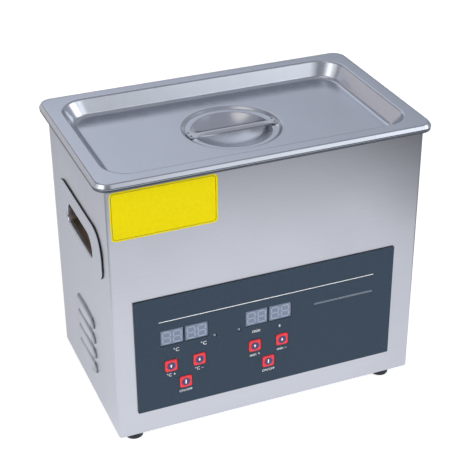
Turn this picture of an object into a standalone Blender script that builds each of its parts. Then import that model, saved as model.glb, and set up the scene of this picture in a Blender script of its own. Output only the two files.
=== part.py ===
"""Benchtop ultrasonic cleaner: a heated steel tank in a sheet housing, with a lift-off lid.

Metres, +Z up. The control panel faces -Y, and the origin is on the floor under the middle of the housing.
"""

from math import atan, cos, pi, sin, sqrt

import bmesh
import bpy
from mathutils import Matrix

# Clearances
SEAT_GAP = 0.0003  # between pieces that rest on or are fixed to one another
CUTOUT_GAP = 0.0004  # round a piece that stands in a cut-out
TANK_GAP = 0.0008  # from the tank to what is mounted beside it

# Tank, drawn from one sheet. The housing and the lid follow its mouth
TANK_MOUTH_WIDTH = 0.2368
TANK_MOUTH_DEPTH = 0.134
TANK_WELL = 0.100
TANK_SHEET = 0.0008
TANK_CORNER = 0.022
TANK_DRAFT = 0.007  # how far each wall leans in over the depth of the well
TANK_MOUTH_FILLET = 0.0025
TANK_FLOOR_FILLET = 0.012
FLANGE_WIDTH = 0.0138
FLANGE_CORNER = 0.0112
FLANGE_LIP = 0.0013
FLANGE_BEND = 0.0009
GASKET = 0.0012

# Housing, a folded wrapper with a flange at its top and bottom
SIDE_SPACE = 0.0069  # from the tank mouth to the outside of a side wall
FRONT_SPACE = 0.008  # from the tank mouth to the outside of the front or rear wall
LOWER_BAY = 0.1177  # from the bottom of the wrapper to the underside of the tank
HOUSING_SHEET = 0.001
HOUSING_CORNER = 0.002
FOLD_RADIUS = 0.0018
BOTTOM_FLANGE = 0.012

# Base plate and feet
BASE_SHEET = 0.001
BASE_INSET = 0.004
FOOT_HEIGHT = 0.0098
FOOT_TOP_RADIUS = 0.008
FOOT_FLOOR_RADIUS = 0.0065
FOOT_EDGE = 0.0008
FOOT_BORE_RADIUS = 0.0035
FOOT_BORE = 0.0035
FOOT_SETBACK = 0.0165  # from the outside of the housing to the middle of a foot
VENT_LENGTH = 0.040
VENT_WIDTH = 0.003
VENT_PITCH = 0.009
VENT_COUNT = 5
VENT_X = 0.062

# Lid
LID_OVERHANG = 0.0003  # past the edge of the tank flange
LID_SHEET = 0.0008
LID_CORNER = 0.0115
LID_RIM_HEIGHT = 0.004
LID_RIM_ROLL = 0.0034
LID_RIM_TURN = 0.0022  # how far the rim is turned in under the lid
LID_RIM_BEND = 0.0006
RECESS_MARGIN = 0.0025  # from the tank mouth out to the top edge of the recess
RECESS_DEPTH = 0.0125
RECESS_RUN = 0.0115  # how far the recess wall and its fillets reach in
RECESS_TOP_FILLET = 0.0025
RECESS_FLOOR_FILLET = 0.005
DISH_RADIUS = 0.0392
DISH_STEP = 0.0020
DISH_STEP_RUN = 0.0022
DISH_LEDGE = 0.0074  # from the edge of the dish to the edge of its bowl
BOWL_DEPTH = 0.011
BOWL_EDGE = 0.0012
STRAP_WIDTH = 0.0085
STRAP_SHEET = 0.0012
STRAP_RISE = 0.0002
STRAP_CROWN = 0.0012
STRAP_TAB_WIDTH = 0.011

# Side handles, pressed plates with a finger cup
HANDLE_DROP = 0.0441  # from the top of the housing to the top of the plate
HANDLE_LENGTH = 0.1146
HANDLE_HEIGHT = 0.0400
HANDLE_AHEAD = 0.002  # from the middle of the side wall to the middle of the plate
HANDLE_RAISE = 0.0011
HANDLE_SHEET = 0.0006
HANDLE_TOP_CORNER = 0.020
HANDLE_LOW_CORNER = 0.011
HANDLE_EDGE = 0.0009
GRIP_LENGTH = 0.067
GRIP_HEIGHT = 0.0180
GRIP_LIFT = 0.0078  # from the bottom of the plate to the bottom of the grip
GRIP_TOP_CORNER = 0.012
GRIP_LOW_CORNER = 0.005
GRIP_EDGE = 0.0012
CUP_DRAFT = 0.0012

# Louvres, pressed hoods that open downwards
LOUVRE_COUNT = 4
LOUVRE_PITCH = 0.0140
LOUVRE_LENGTH = 0.048
LOUVRE_HEIGHT = 0.0095
LOUVRE_DEPTH = 0.003
LOUVRE_WALL = 0.0008
LOUVRE_SLIT = 0.0008
LOUVRE_LIFT = 0.0287  # from the bottom of the housing to the lowest lip

# Control panel on the front wall. Its groups are placed from its left edge
PANEL_MARGIN = 0.01775
PANEL_LEFT = 0.0019  # from the middle of the front wall to the middle of the panel
PANEL_LIFT = 0.0206
PANEL_HEIGHT = 0.100
PANEL_SHEET = 0.0008
PANEL_CORNER = 0.0006
GROUP_INSET = 0.0389
GROUP_PITCH = 0.069
DISPLAY_WIDTH = 0.0182
DISPLAY_HEIGHT = 0.0131
DISPLAY_PITCH = 0.0197
DISPLAY_LIFT = 0.0637
DISPLAY_BEVEL = 0.0004
DISPLAY_SINK = 0.0002
KEY_WIDTH = 0.010
KEY_CORNER = 0.0016
KEY_PITCH = 0.023
KEY_ROW_LIFT = 0.038
KEY_LOW_ROW_LIFT = 0.0203
KEY_PROUD = 0.0008
KEY_EDGE = 0.0003
KEY_TRAVEL = 0.0004
KEY_FLANGE = 0.0006
KEY_FLANGE_SHEET = 0.0008
KEY_STEM_RADIUS = 0.0015
LAMP_RADIUS = 0.0015
LAMP_FLANGE = 0.0004
LAMP_INSET = 0.0245  # from the middle of a group to its lamp
LAMP_LIFT = 0.0561
LAMP_PROUD = 0.0004

# Display board behind the panel
BOARD_SHEET = 0.0016
BOARD_SETBACK = 0.0085  # from the inside of the front wall to the board
BOARD_MARGIN = 0.012
BOARD_CORNER = 0.002
BOARD_WIDTH_PAST_GROUP = 0.034
STUD_RADIUS = 0.0025
STUD_EDGE = 0.005
SWITCH_WIDTH = 0.0062
SWITCH_HEIGHT = 0.0038
SWITCH_BORE = 0.0016

# Transducers under the tank
TRANSDUCER_PITCH = 0.110
FRONT_MASS_RADIUS = 0.0225
FRONT_MASS_HEIGHT = 0.026
FRONT_MASS_RIM = 0.006
STACK_RADIUS = 0.019
PIEZO_BORE = 0.0075
PIEZO_THICKNESS = 0.005
BACK_MASS_HEIGHT = 0.014
BOLT_RADIUS = 0.005
BOLT_HEAD_RADIUS = 0.008
BOLT_HEAD = 0.006
BOLT_GRIP = 0.012

# Heating and sensing on the tank
PAD_LENGTH = 0.150
PAD_HEIGHT = 0.050
PAD_SHEET = 0.0015
PAD_DROP = 0.058
SENSOR_RADIUS = 0.004
SENSOR_HEIGHT = 0.007
CUTOUT_RADIUS = 0.008
CUTOUT_HEIGHT = 0.006
SENSOR_OFFSET = 0.032

# Generator board on the base plate
GENERATOR_WIDTH = 0.150
GENERATOR_DEPTH = 0.095
GENERATOR_X = -0.018
BOSS_RADIUS = 0.003
BOSS_HEIGHT = 0.007
SINK_LENGTH = 0.060
SINK_DEPTH = 0.028
SINK_HEADROOM = 0.0158  # from the top of the heat sink to the bolts of the transducers
SINK_BASE = 0.005
FIN_SHEET = 0.0016
FIN_COUNT = 6
SINK_X = -0.055
TRANSISTOR_WIDTH = 0.016
TRANSISTOR_HEIGHT = 0.021
TRANSISTOR_SHEET = 0.005
TRANSISTOR_PITCH = 0.026
CORE_WIDTH = 0.042
CORE_HEIGHT = 0.042
CORE_DEPTH = 0.015
CORE_LEG = 0.006
CORE_MIDDLE_LEG = 0.012
COIL_WALL = 0.0055
CORE_X = 0.014
CORE_Y = 0.012
CAPACITOR_RADIUS = 0.011
CAPACITOR_HEIGHT = 0.032
CAPACITOR_X = 0.040
CAPACITOR_Y = -0.026
RELAY_SIZE = (0.019, 0.0155, 0.0155)
RELAY_X = 0.010
RELAY_Y = -0.030
RIBBON_WIDTH = 0.025
RIBBON_SHEET = 0.0009
RIBBON_X = -0.060
RIBBON_BEND = 0.012

# Mains inlet on the rear wall, with its fuse drawer
INLET_X = -0.075
INLET_LIFT = 0.045
INLET_FLANGE_WIDTH = 0.050
INLET_FLANGE_HEIGHT = 0.040
INLET_FLANGE_SHEET = 0.002
INLET_CORNER = 0.006
INLET_BODY_WIDTH = 0.030
INLET_BODY_HEIGHT = 0.034
INLET_BODY_DEPTH = 0.026
SOCKET_WIDTH = 0.0244
SOCKET_HEIGHT = 0.0164
SOCKET_CHAMFER = 0.005
SOCKET_DEPTH = 0.018
SOCKET_LIFT = 0.0065  # from the middle of the flange to the middle of the socket
BLADE_WIDTH = 0.002
BLADE_HEIGHT = 0.004
BLADE_LENGTH = 0.0145
BLADE_PITCH = 0.014
EARTH_LIFT = 0.002
DRAWER_WIDTH = 0.022
DRAWER_HEIGHT = 0.0085
DRAWER_DEPTH = 0.0225
DRAWER_DROP = 0.0105
DRAWER_FACE_WIDTH = 0.025
DRAWER_FACE_HEIGHT = 0.0105
DRAWER_FACE = 0.0012
DRAWER_WALL = 0.0012
FUSE_RADIUS = 0.0025
FUSE_LENGTH = 0.0195

# Facets
CORNER_STEPS = 5
SMALL_CORNER_STEPS = 2
HANDLE_STEPS = 3
FILLET_STEPS = 3
ROUND_STEPS = 16
SIDE_STEPS = 2  # points added along each side of a ring that meets a round one

# Sizes that follow from the ones above
BODY_WIDTH = TANK_MOUTH_WIDTH + 2 * SIDE_SPACE
BODY_DEPTH = TANK_MOUTH_DEPTH + 2 * FRONT_SPACE
BASE_Z = FOOT_HEIGHT + SEAT_GAP
BODY_Z = BASE_Z + BASE_SHEET + SEAT_GAP
TANK_Z = BODY_Z + LOWER_BAY
FLANGE_Z = TANK_Z + TANK_SHEET + TANK_WELL
BODY_TOP = FLANGE_Z - TANK_SHEET - 2 * SEAT_GAP - GASKET
LID_Z = FLANGE_Z + SEAT_GAP
LID_TOP = LID_Z + LID_RIM_HEIGHT
RECESS_Z = LID_TOP - RECESS_DEPTH
DISH_Z = RECESS_Z - DISH_STEP
BOWL_RADIUS = DISH_RADIUS - DISH_LEDGE
FLANGE_X = TANK_MOUTH_WIDTH / 2 + FLANGE_WIDTH
FLANGE_Y = TANK_MOUTH_DEPTH / 2 + FLANGE_WIDTH
LID_X = FLANGE_X + LID_OVERHANG
LID_Y = FLANGE_Y + LID_OVERHANG
RECESS_X = TANK_MOUTH_WIDTH / 2 + RECESS_MARGIN
RECESS_Y = TANK_MOUTH_DEPTH / 2 + RECESS_MARGIN
PANEL_WIDTH = BODY_WIDTH - 2 * PANEL_MARGIN
PANEL_X = -PANEL_LEFT
PANEL_Z = BODY_Z + PANEL_LIFT
PANEL_Y = -BODY_DEPTH / 2 - SEAT_GAP - PANEL_SHEET
FIRST_GROUP = PANEL_X - PANEL_WIDTH / 2 + GROUP_INSET
GROUPS = (FIRST_GROUP, FIRST_GROUP + GROUP_PITCH)
BOARD_Y = -BODY_DEPTH / 2 + HOUSING_SHEET + BOARD_SETBACK
HANDLE_Z = BODY_TOP - HANDLE_DROP - HANDLE_HEIGHT
GRIP_Z = HANDLE_Z + GRIP_LIFT
GENERATOR_Z = BASE_Z + BASE_SHEET + BOSS_HEIGHT + SEAT_GAP
GENERATOR_TOP = GENERATOR_Z + BOARD_SHEET
INLET_Z = BODY_Z + INLET_LIFT
PIEZO_Z = TANK_Z - 2 * SEAT_GAP - FRONT_MASS_HEIGHT
BACK_MASS_Z = PIEZO_Z - 2 * (PIEZO_THICKNESS + SEAT_GAP)
BOLT_Z = BACK_MASS_Z - BACK_MASS_HEIGHT - SEAT_GAP - BOLT_HEAD
SINK_HEIGHT = BOLT_Z - SINK_HEADROOM - GENERATOR_TOP - SEAT_GAP

# Where a face's own x, y and outward z lie in the model
FACE_AXES = {
    "front": Matrix(((1, 0, 0), (0, 0, -1), (0, 1, 0))),
    "rear": Matrix(((-1, 0, 0), (0, 0, 1), (0, 1, 0))),
    "left": Matrix(((0, 0, -1), (-1, 0, 0), (0, 1, 0))),
    "right": Matrix(((0, 0, 1), (1, 0, 0), (0, 1, 0))),
    "top": Matrix.Identity(3),
}


def clear_scene():
    for obj in list(bpy.data.objects):
        bpy.data.objects.remove(obj, do_unlink=True)


def collection(name):
    group = bpy.data.collections.new(name)
    bpy.context.scene.collection.children.link(group)
    return group


clear_scene()
PART = collection("ultrasonic_cleaner")
CUTTERS = collection("cutters")


def finish(name, colour, roughness, metallic=0.0):
    """A Principled material with the piece's colour, roughness and metallic value."""
    made = bpy.data.materials.new(name)
    made.use_nodes = True
    shader = made.node_tree.nodes["Principled BSDF"]
    shader.inputs["Base Color"].default_value = (*colour, 1.0)
    shader.inputs["Roughness"].default_value = roughness
    shader.inputs["Metallic"].default_value = metallic
    return made


BRUSHED_STEEL = finish("brushed_steel", (0.56, 0.57, 0.60), 0.32, 1.0)
DRAWN_STEEL = finish("drawn_steel", (0.60, 0.62, 0.66), 0.22, 1.0)
PLATED_STEEL = finish("plated_steel", (0.50, 0.50, 0.48), 0.40, 1.0)
ALUMINIUM = finish("aluminium", (0.70, 0.70, 0.71), 0.35, 1.0)
BLACK_RUBBER = finish("black_rubber", (0.015, 0.018, 0.020), 0.75)
SILICONE = finish("silicone", (0.75, 0.74, 0.70), 0.60)
PANEL_FILM = finish("panel_film", (0.05, 0.07, 0.10), 0.35)
DISPLAY_FACE = finish("display_face", (0.27, 0.29, 0.34), 0.30)
RED_KEY = finish("red_key", (0.85, 0.04, 0.05), 0.35)
CLEAR_LENS = finish("clear_lens", (0.80, 0.20, 0.15), 0.15)
BOARD_GREEN = finish("board_green", (0.02, 0.16, 0.07), 0.45)
SWITCH_BLACK = finish("switch_black", (0.02, 0.02, 0.02), 0.45)
PIEZO_CERAMIC = finish("piezo_ceramic", (0.55, 0.50, 0.42), 0.55)
HEATER_ORANGE = finish("heater_silicone", (0.55, 0.14, 0.04), 0.65)
FERRITE = finish("ferrite", (0.05, 0.05, 0.055), 0.55)
COIL_TAPE = finish("coil_tape", (0.65, 0.50, 0.08), 0.50)
RIBBON_GREY = finish("ribbon_grey", (0.45, 0.46, 0.48), 0.55)
FUSE_GLASS = finish("fuse_glass", (0.75, 0.80, 0.80), 0.08)


def add(name, data, material, group=PART):
    """A named object with its material, in the part or among the cutters."""
    obj = bpy.data.objects.new(name, data)
    group.objects.link(obj)
    if material:
        data.materials.append(material)
    if group is CUTTERS:
        obj.hide_render = True
        obj.display_type = "WIRE"
    return obj


def place(obj, face="top", at=(0, 0, 0)):
    """Turns an object so that its own z points out of a face, and moves it there."""
    obj.matrix_world = Matrix.Translation(at) @ FACE_AXES[face].to_4x4()
    return obj


def boolean(obj, other, operation):
    modifier = obj.modifiers.new(other.name, "BOOLEAN")
    modifier.operation = operation
    modifier.object = other


def mesh_from(bm, name):
    mesh = bpy.data.meshes.new(name)
    bm.to_mesh(mesh)
    bm.free()
    return mesh


def rounded(half_x, half_y, low, high=None, steps=CORNER_STEPS, middle=(0, 0), along=0):
    """A rectangle with round corners, anticlockwise from its lower right corner.

    low and high are the radii of its lower and upper corners, and along adds points to each side.
    """
    high = low if high is None else high
    points = []
    for corner, (side_x, side_y, radius) in enumerate(
        ((1, -1, low), (1, 1, high), (-1, 1, high), (-1, -1, low))
    ):
        centre_x = side_x * (half_x - radius)
        centre_y = side_y * (half_y - radius)
        for step in range(steps + 1):
            angle = (corner - 1 + step / steps) * pi / 2
            points.append((centre_x + radius * cos(angle), centre_y + radius * sin(angle)))
    if along:
        points = with_side_points(points, steps + 1, along)
    return [(x + middle[0], y + middle[1]) for x, y in points]


def with_side_points(points, corner_points, along):
    """The same outline with evenly spaced points added between one corner and the next."""
    result = []
    for index, (x, y) in enumerate(points):
        result.append((x, y))
        if index % corner_points == corner_points - 1:
            next_x, next_y = points[(index + 1) % len(points)]
            for step in range(1, along + 1):
                share = step / (along + 1)
                result.append((x + share * (next_x - x), y + share * (next_y - y)))
    return result


def circle_like(outline, radius):
    """A circle with the outline's number of points, turned so that the corners' middles stay diagonal."""
    count = len(outline)
    angles = [((index - CORNER_STEPS / 2) / count - 1 / 8) * 2 * pi for index in range(count)]
    return [(radius * cos(angle), radius * sin(angle)) for angle in angles]


def arc(start, end, steps=FILLET_STEPS):
    """Pairs (1 - cos, sin) of the angles from start to end, in quarter turns."""
    angles = [(start + (end - start) * step / steps) * pi / 2 for step in range(steps + 1)]
    return [(1 - cos(angle), sin(angle)) for angle in angles]


def loft(name, rings, material, sheet=0.0, close_first=False, close_last=False, group=PART):
    """A skin through rings of (outline, height), with a wall on its hidden side if sheet is given."""
    bm = bmesh.new()
    loops = [[bm.verts.new((x, y, height)) for x, y in outline] for outline, height in rings]
    for lower, upper in zip(loops, loops[1:]):
        for index in range(len(lower)):
            after = (index + 1) % len(lower)
            bm.faces.new((lower[index], lower[after], upper[after], upper[index]))
    if close_first:
        bm.faces.new(list(reversed(loops[0])))
    if close_last:
        bm.faces.new(loops[-1])
    obj = add(name, mesh_from(bm, name), material, group)
    obj.data.shade_smooth()
    obj.data.set_sharp_from_angle(angle=pi / 6)
    if sheet:
        wall = obj.modifiers.new("wall", "SOLIDIFY")
        wall.thickness = sheet
        wall.offset = -1
        wall.use_even_offset = True
    return obj


def flat(name, outlines, thickness, material, group=PART):
    """A plate centred on its own z, from an outline and the outlines of its holes."""
    curve = bpy.data.curves.new(name, "CURVE")
    curve.dimensions = "2D"
    curve.fill_mode = "BOTH"
    curve.extrude = thickness / 2
    for outline in outlines:
        spline = curve.splines.new("POLY")
        spline.points.add(len(outline) - 1)
        for point, (x, y) in zip(spline.points, outline):
            point.co = (x, y, 0, 1)
        spline.use_cyclic_u = True
    return add(name, curve, material, group)


def as_mesh(obj, group=PART):
    """A curve object turned into a mesh object of the same name, with its caps welded."""
    bpy.context.view_layer.update()
    graph = bpy.context.evaluated_depsgraph_get()
    mesh = bpy.data.meshes.new_from_object(obj.evaluated_get(graph))
    bm = bmesh.new()
    bm.from_mesh(mesh)
    bmesh.ops.remove_doubles(bm, verts=bm.verts, dist=1e-6)
    bm.to_mesh(mesh)
    bm.free()
    name = obj.name
    matrix = obj.matrix_world.copy()
    bpy.data.objects.remove(obj, do_unlink=True)
    made = add(name, mesh, None, group)
    made.matrix_world = matrix
    return made


def box(name, size, at, material, group=PART, bevel=0.0):
    """A block centred on a point, with its edges rounded by bevel."""
    bm = bmesh.new()
    bmesh.ops.create_cube(bm, size=1.0, matrix=Matrix.Diagonal((*size, 1.0)))
    obj = add(name, mesh_from(bm, name), material, group)
    obj.location = at
    if bevel:
        edge = obj.modifiers.new("edge", "BEVEL")
        edge.width = bevel
        edge.segments = 1
    return obj


def turned(name, profile, material, at=(0, 0, 0), ring=False, steps=ROUND_STEPS, face="top"):
    """A profile of (radius, height), from top to bottom on its outer side, turned about its own z."""
    mesh = bpy.data.meshes.new(name)
    edges = [(index, index + 1) for index in range(len(profile) - 1)]
    if ring:
        edges.append((len(profile) - 1, 0))
    mesh.from_pydata([(radius, 0, height) for radius, height in profile], edges, [])
    obj = add(name, mesh, material)
    screw = obj.modifiers.new("turn", "SCREW")
    screw.steps = steps
    screw.render_steps = steps
    screw.use_merge_vertices = True
    screw.merge_threshold = 1e-6
    return place(obj, face, at)


def fillet(radius, base, turn):
    """Offsets and heights along a quarter round: over an outer edge if turn is 'over', else into a floor."""
    if turn == "over":
        return [(radius * away, base + radius * up) for away, up in arc(0, 1)]
    return [(radius * up, base - radius * away) for away, up in arc(0, 1)]


def make_housing():
    """The wrapper: walls with a fold at the top and bottom, louvres, cut-outs and weld studs."""
    half_x = BODY_WIDTH / 2
    half_y = BODY_DEPTH / 2

    def wall_ring(inset):
        return rounded(half_x - inset, half_y - inset, max(HOUSING_CORNER - inset, 0.0008))

    opening = rounded(
        TANK_MOUTH_WIDTH / 2 + TANK_SHEET + CUTOUT_GAP,
        TANK_MOUTH_DEPTH / 2 + TANK_SHEET + CUTOUT_GAP,
        TANK_CORNER + TANK_SHEET + CUTOUT_GAP,
    )
    rings = [(wall_ring(BOTTOM_FLANGE), BODY_Z)]
    rings += [(wall_ring(FOLD_RADIUS * (1 - away)), BODY_Z + FOLD_RADIUS * up) for up, away in arc(0, 1)]
    rings += [
        (wall_ring(FOLD_RADIUS * away), BODY_TOP - FOLD_RADIUS + FOLD_RADIUS * up) for away, up in arc(0, 1)
    ]
    rings.append((opening, BODY_TOP))
    housing = loft("housing", rings, BRUSHED_STEEL, sheet=HOUSING_SHEET)
    boolean(housing, louvre_hoods("louvre_hoods", 0.0), "UNION")
    boolean(housing, louvre_hoods("louvre_hollows", LOUVRE_WALL), "DIFFERENCE")
    boolean(housing, panel_cutouts(), "DIFFERENCE")
    boolean(housing, grip_cutout(), "DIFFERENCE")
    boolean(housing, inlet_cutout(), "DIFFERENCE")
    for stud in board_studs():
        boolean(housing, stud, "UNION")
    return housing


def louvre_hoods(name, wall):
    """Quarter-round hoods for both side walls, drawn in by wall for the hollow under each hood."""
    bm = bmesh.new()
    for face, side in (("left", -1), ("right", 1)):
        for row in range(LOUVRE_COUNT):
            lip = BODY_Z + LOUVRE_LIFT + row * LOUVRE_PITCH
            hood = mesh_from(hood_shape(wall), name)
            hood.transform(Matrix.Translation((side * BODY_WIDTH / 2, 0, lip)) @ FACE_AXES[face].to_4x4())
            bm.from_mesh(hood)
            bpy.data.meshes.remove(hood)
    return add(name, mesh_from(bm, name), None, CUTTERS)


def hood_shape(wall):
    """One hood in its face's axes: a flattened capsule cut off below its lip and behind the wall."""
    height = LOUVRE_HEIGHT - wall
    depth = LOUVRE_DEPTH - wall
    reach = LOUVRE_LENGTH / 2 - LOUVRE_HEIGHT
    bm = bmesh.new()
    bmesh.ops.create_uvsphere(
        bm, u_segments=12, v_segments=6, radius=1.0, matrix=Matrix.Rotation(pi / 2, 4, "Y")
    )
    for vert in bm.verts:
        side = 0 if abs(vert.co.x) < 1e-6 else vert.co.x / abs(vert.co.x)
        vert.co = (vert.co.x * height + side * reach, vert.co.y * height, vert.co.z * depth)
    back = -2 * HOUSING_SHEET if wall else -HOUSING_SHEET / 2
    low = -LOUVRE_SLIT if wall else 0.0
    for point, normal in (((0, low, 0), (0, 1, 0)), ((0, 0, back), (0, 0, 1))):
        everything = bm.verts[:] + bm.edges[:] + bm.faces[:]
        bmesh.ops.bisect_plane(bm, geom=everything, plane_co=point, plane_no=normal, clear_inner=True)
        bmesh.ops.holes_fill(bm, edges=[edge for edge in bm.edges if edge.is_boundary])
    bmesh.ops.recalc_face_normals(bm, faces=bm.faces)
    return bm


def key_places():
    """Each key's name and its place, from the middle of the front wall and the panel's lower edge."""
    for group, x in zip(("heat", "timer"), GROUPS):
        yield f"key_{group}_up", x - KEY_PITCH / 2, KEY_ROW_LIFT
        yield f"key_{group}_down", x + KEY_PITCH / 2, KEY_ROW_LIFT
        yield f"key_{group}_power", x, KEY_LOW_ROW_LIFT


def display_places():
    names = ("display_set", "display_actual", "display_minutes", "display_seconds")
    places = [x + side * DISPLAY_PITCH / 2 for x in GROUPS for side in (-1, 1)]
    return list(zip(names, places))


def lamp_places():
    return (("lamp_heat", GROUPS[0] + LAMP_INSET), ("lamp_timer", GROUPS[1] - LAMP_INSET))


def panel_outlines(key_gap, display_gap, lamp_gap):
    """Outlines of the holes for the keys, displays and lamps, each widened by its gap."""
    outlines = []
    for _, x, y in key_places():
        half = KEY_WIDTH / 2 + key_gap
        outlines.append(rounded(half, half, KEY_CORNER, steps=SMALL_CORNER_STEPS, middle=(x, y)))
    for _, x in display_places():
        half_x = DISPLAY_WIDTH / 2 + display_gap
        half_y = DISPLAY_HEIGHT / 2 + display_gap
        outlines.append(rounded(half_x, half_y, DISPLAY_BEVEL, steps=1, middle=(x, DISPLAY_LIFT)))
    for _, x in lamp_places():
        radius = LAMP_RADIUS + lamp_gap
        outlines.append(rounded(radius, radius, radius, steps=SMALL_CORNER_STEPS, middle=(x, LAMP_LIFT)))
    return outlines


def panel_cutouts():
    """Cutter for the front wall: room for the key flanges, displays and lamp flanges."""
    outlines = panel_outlines(KEY_FLANGE + CUTOUT_GAP, CUTOUT_GAP, LAMP_FLANGE + CUTOUT_GAP)
    cutter = flat("panel_cutouts", outlines, 4 * HOUSING_SHEET, None, CUTTERS)
    place(cutter, "front", (0, -BODY_DEPTH / 2 + HOUSING_SHEET / 2, PANEL_Z))
    return as_mesh(cutter, CUTTERS)


def grip_outline(gap):
    """The finger grip's outline in a side face's axes, from the bottom of the grip, widened by gap."""
    return rounded(
        GRIP_LENGTH / 2 + gap,
        GRIP_HEIGHT / 2 + gap,
        GRIP_LOW_CORNER + gap,
        GRIP_TOP_CORNER + gap,
        steps=HANDLE_STEPS,
        middle=(0, GRIP_HEIGHT / 2),
    )


def grip_cutout():
    """Cutter through both side walls for the handle cups."""
    gap = HANDLE_SHEET + CUTOUT_GAP
    cutter = flat("grip_cutout", [grip_outline(gap)], 2 * BODY_WIDTH, None, CUTTERS)
    place(cutter, "right", (0, -HANDLE_AHEAD, GRIP_Z))
    return as_mesh(cutter, CUTTERS)


def inlet_cutout():
    size = (INLET_BODY_WIDTH + 2 * CUTOUT_GAP, 4 * HOUSING_SHEET, INLET_BODY_HEIGHT + 2 * CUTOUT_GAP)
    return box("inlet_cutout", size, (INLET_X, BODY_DEPTH / 2, INLET_Z), None, CUTTERS)


def board_span():
    """The display board's left and right edges."""
    return GROUPS[0] - BOARD_WIDTH_PAST_GROUP, GROUPS[1] + BOARD_WIDTH_PAST_GROUP


def board_studs():
    """Weld studs that carry the display board on the front wall, sunk into the sheet."""
    left, right = board_span()
    low = PANEL_Z + BOARD_MARGIN + STUD_EDGE
    high = PANEL_Z + PANEL_HEIGHT - BOARD_MARGIN - STUD_EDGE
    root = -BODY_DEPTH / 2 + HOUSING_SHEET / 2
    length = BOARD_Y - SEAT_GAP - root
    studs = []
    for x in (left + STUD_EDGE, right - STUD_EDGE):
        for z in (low, high):
            bm = bmesh.new()
            bmesh.ops.create_cone(
                bm, cap_ends=True, segments=12, radius1=STUD_RADIUS, radius2=STUD_RADIUS, depth=length
            )
            stud = add("board_stud", mesh_from(bm, "board_stud"), None, CUTTERS)
            studs.append(place(stud, "front", (x, root + length / 2, z)))
    return studs


def make_base():
    """The base plate, with vent slots and the bosses that carry the generator board."""
    half_x = BODY_WIDTH / 2 - BASE_INSET
    half_y = BODY_DEPTH / 2 - BASE_INSET
    outlines = [rounded(half_x, half_y, HOUSING_CORNER, steps=SMALL_CORNER_STEPS)]
    for x in (-VENT_X, VENT_X):
        for row in range(VENT_COUNT):
            y = (row - (VENT_COUNT - 1) / 2) * VENT_PITCH
            half = VENT_WIDTH / 2
            slot = rounded(VENT_LENGTH / 2, half, half, steps=SMALL_CORNER_STEPS, middle=(x, y))
            outlines.append(slot)
    plate = flat("base_plate", outlines, BASE_SHEET, BRUSHED_STEEL)
    place(plate, "top", (0, 0, BASE_Z + BASE_SHEET / 2))
    plate = as_mesh(plate)
    height = BOSS_HEIGHT + BASE_SHEET / 2
    for x, y in generator_corners():
        bm = bmesh.new()
        bmesh.ops.create_cone(
            bm, cap_ends=True, segments=8, radius1=BOSS_RADIUS, radius2=BOSS_RADIUS, depth=height
        )
        boss = add("board_boss", mesh_from(bm, "board_boss"), None, CUTTERS)
        boss.location = (x, y, BASE_Z + BASE_SHEET / 2 + height / 2)
        boolean(plate, boss, "UNION")


def make_feet():
    """Four turned rubber feet, each with a bore for its screw."""
    profile = [
        (0, FOOT_HEIGHT),
        (FOOT_TOP_RADIUS, FOOT_HEIGHT),
        (FOOT_FLOOR_RADIUS + FOOT_EDGE, FOOT_EDGE),
        (FOOT_FLOOR_RADIUS, 0),
        (FOOT_BORE_RADIUS, 0),
        (FOOT_BORE_RADIUS, FOOT_BORE),
        (0, FOOT_BORE),
    ]
    x = BODY_WIDTH / 2 - FOOT_SETBACK
    y = BODY_DEPTH / 2 - FOOT_SETBACK
    for name, side_x, side_y in (
        ("foot_front_left", -1, -1),
        ("foot_front_right", 1, -1),
        ("foot_rear_left", -1, 1),
        ("foot_rear_right", 1, 1),
    ):
        turned(name, profile, BLACK_RUBBER, (side_x * x, side_y * y, 0), steps=16)


def tank_ring(inset, corner=TANK_CORNER):
    return rounded(TANK_MOUTH_WIDTH / 2 - inset, TANK_MOUTH_DEPTH / 2 - inset, corner)


def make_tank():
    """The drawn tank: a turned-down lip, the flange, a filleted mouth, leaning walls and a filleted floor."""

    def flange_ring(inset):
        return rounded(FLANGE_X - inset, FLANGE_Y - inset, FLANGE_CORNER - inset)

    lip_z = FLANGE_Z - FLANGE_LIP
    rings = [(flange_ring(0), lip_z)]
    for away, height in fillet(FLANGE_BEND, FLANGE_Z - FLANGE_BEND, "over"):
        rings.append((flange_ring(away), height))
    for along, height in fillet(TANK_MOUTH_FILLET, FLANGE_Z, "into"):
        rings.append((tank_ring(along - TANK_MOUTH_FILLET, TANK_CORNER + TANK_MOUTH_FILLET - along), height))
    floor = FLANGE_Z - TANK_WELL
    foot_inset = TANK_DRAFT * (TANK_WELL - TANK_FLOOR_FILLET) / TANK_WELL
    for away, down in arc(0, 1):
        inset = foot_inset + TANK_FLOOR_FILLET * away
        rings.append((tank_ring(inset, TANK_CORNER - inset * 0.5), floor + TANK_FLOOR_FILLET * (1 - down)))
    loft("tank", rings, DRAWN_STEEL, sheet=TANK_SHEET, close_last=True)


def make_gasket():
    """The seal between the housing's top fold and the tank flange."""
    fold = FOLD_RADIUS / 2
    outer = rounded(BODY_WIDTH / 2 - fold, BODY_DEPTH / 2 - fold, HOUSING_CORNER)
    gap = TANK_MOUTH_FILLET - TANK_SHEET + CUTOUT_GAP
    inner = rounded(TANK_MOUTH_WIDTH / 2 + gap, TANK_MOUTH_DEPTH / 2 + gap, TANK_CORNER + gap)
    gasket = flat("tank_gasket", [outer, inner], GASKET, SILICONE)
    place(gasket, "top", (0, 0, BODY_TOP + SEAT_GAP + GASKET / 2))


def lid_ring(half_x, half_y, corner):
    return rounded(half_x, half_y, corner, along=SIDE_STEPS)


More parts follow.
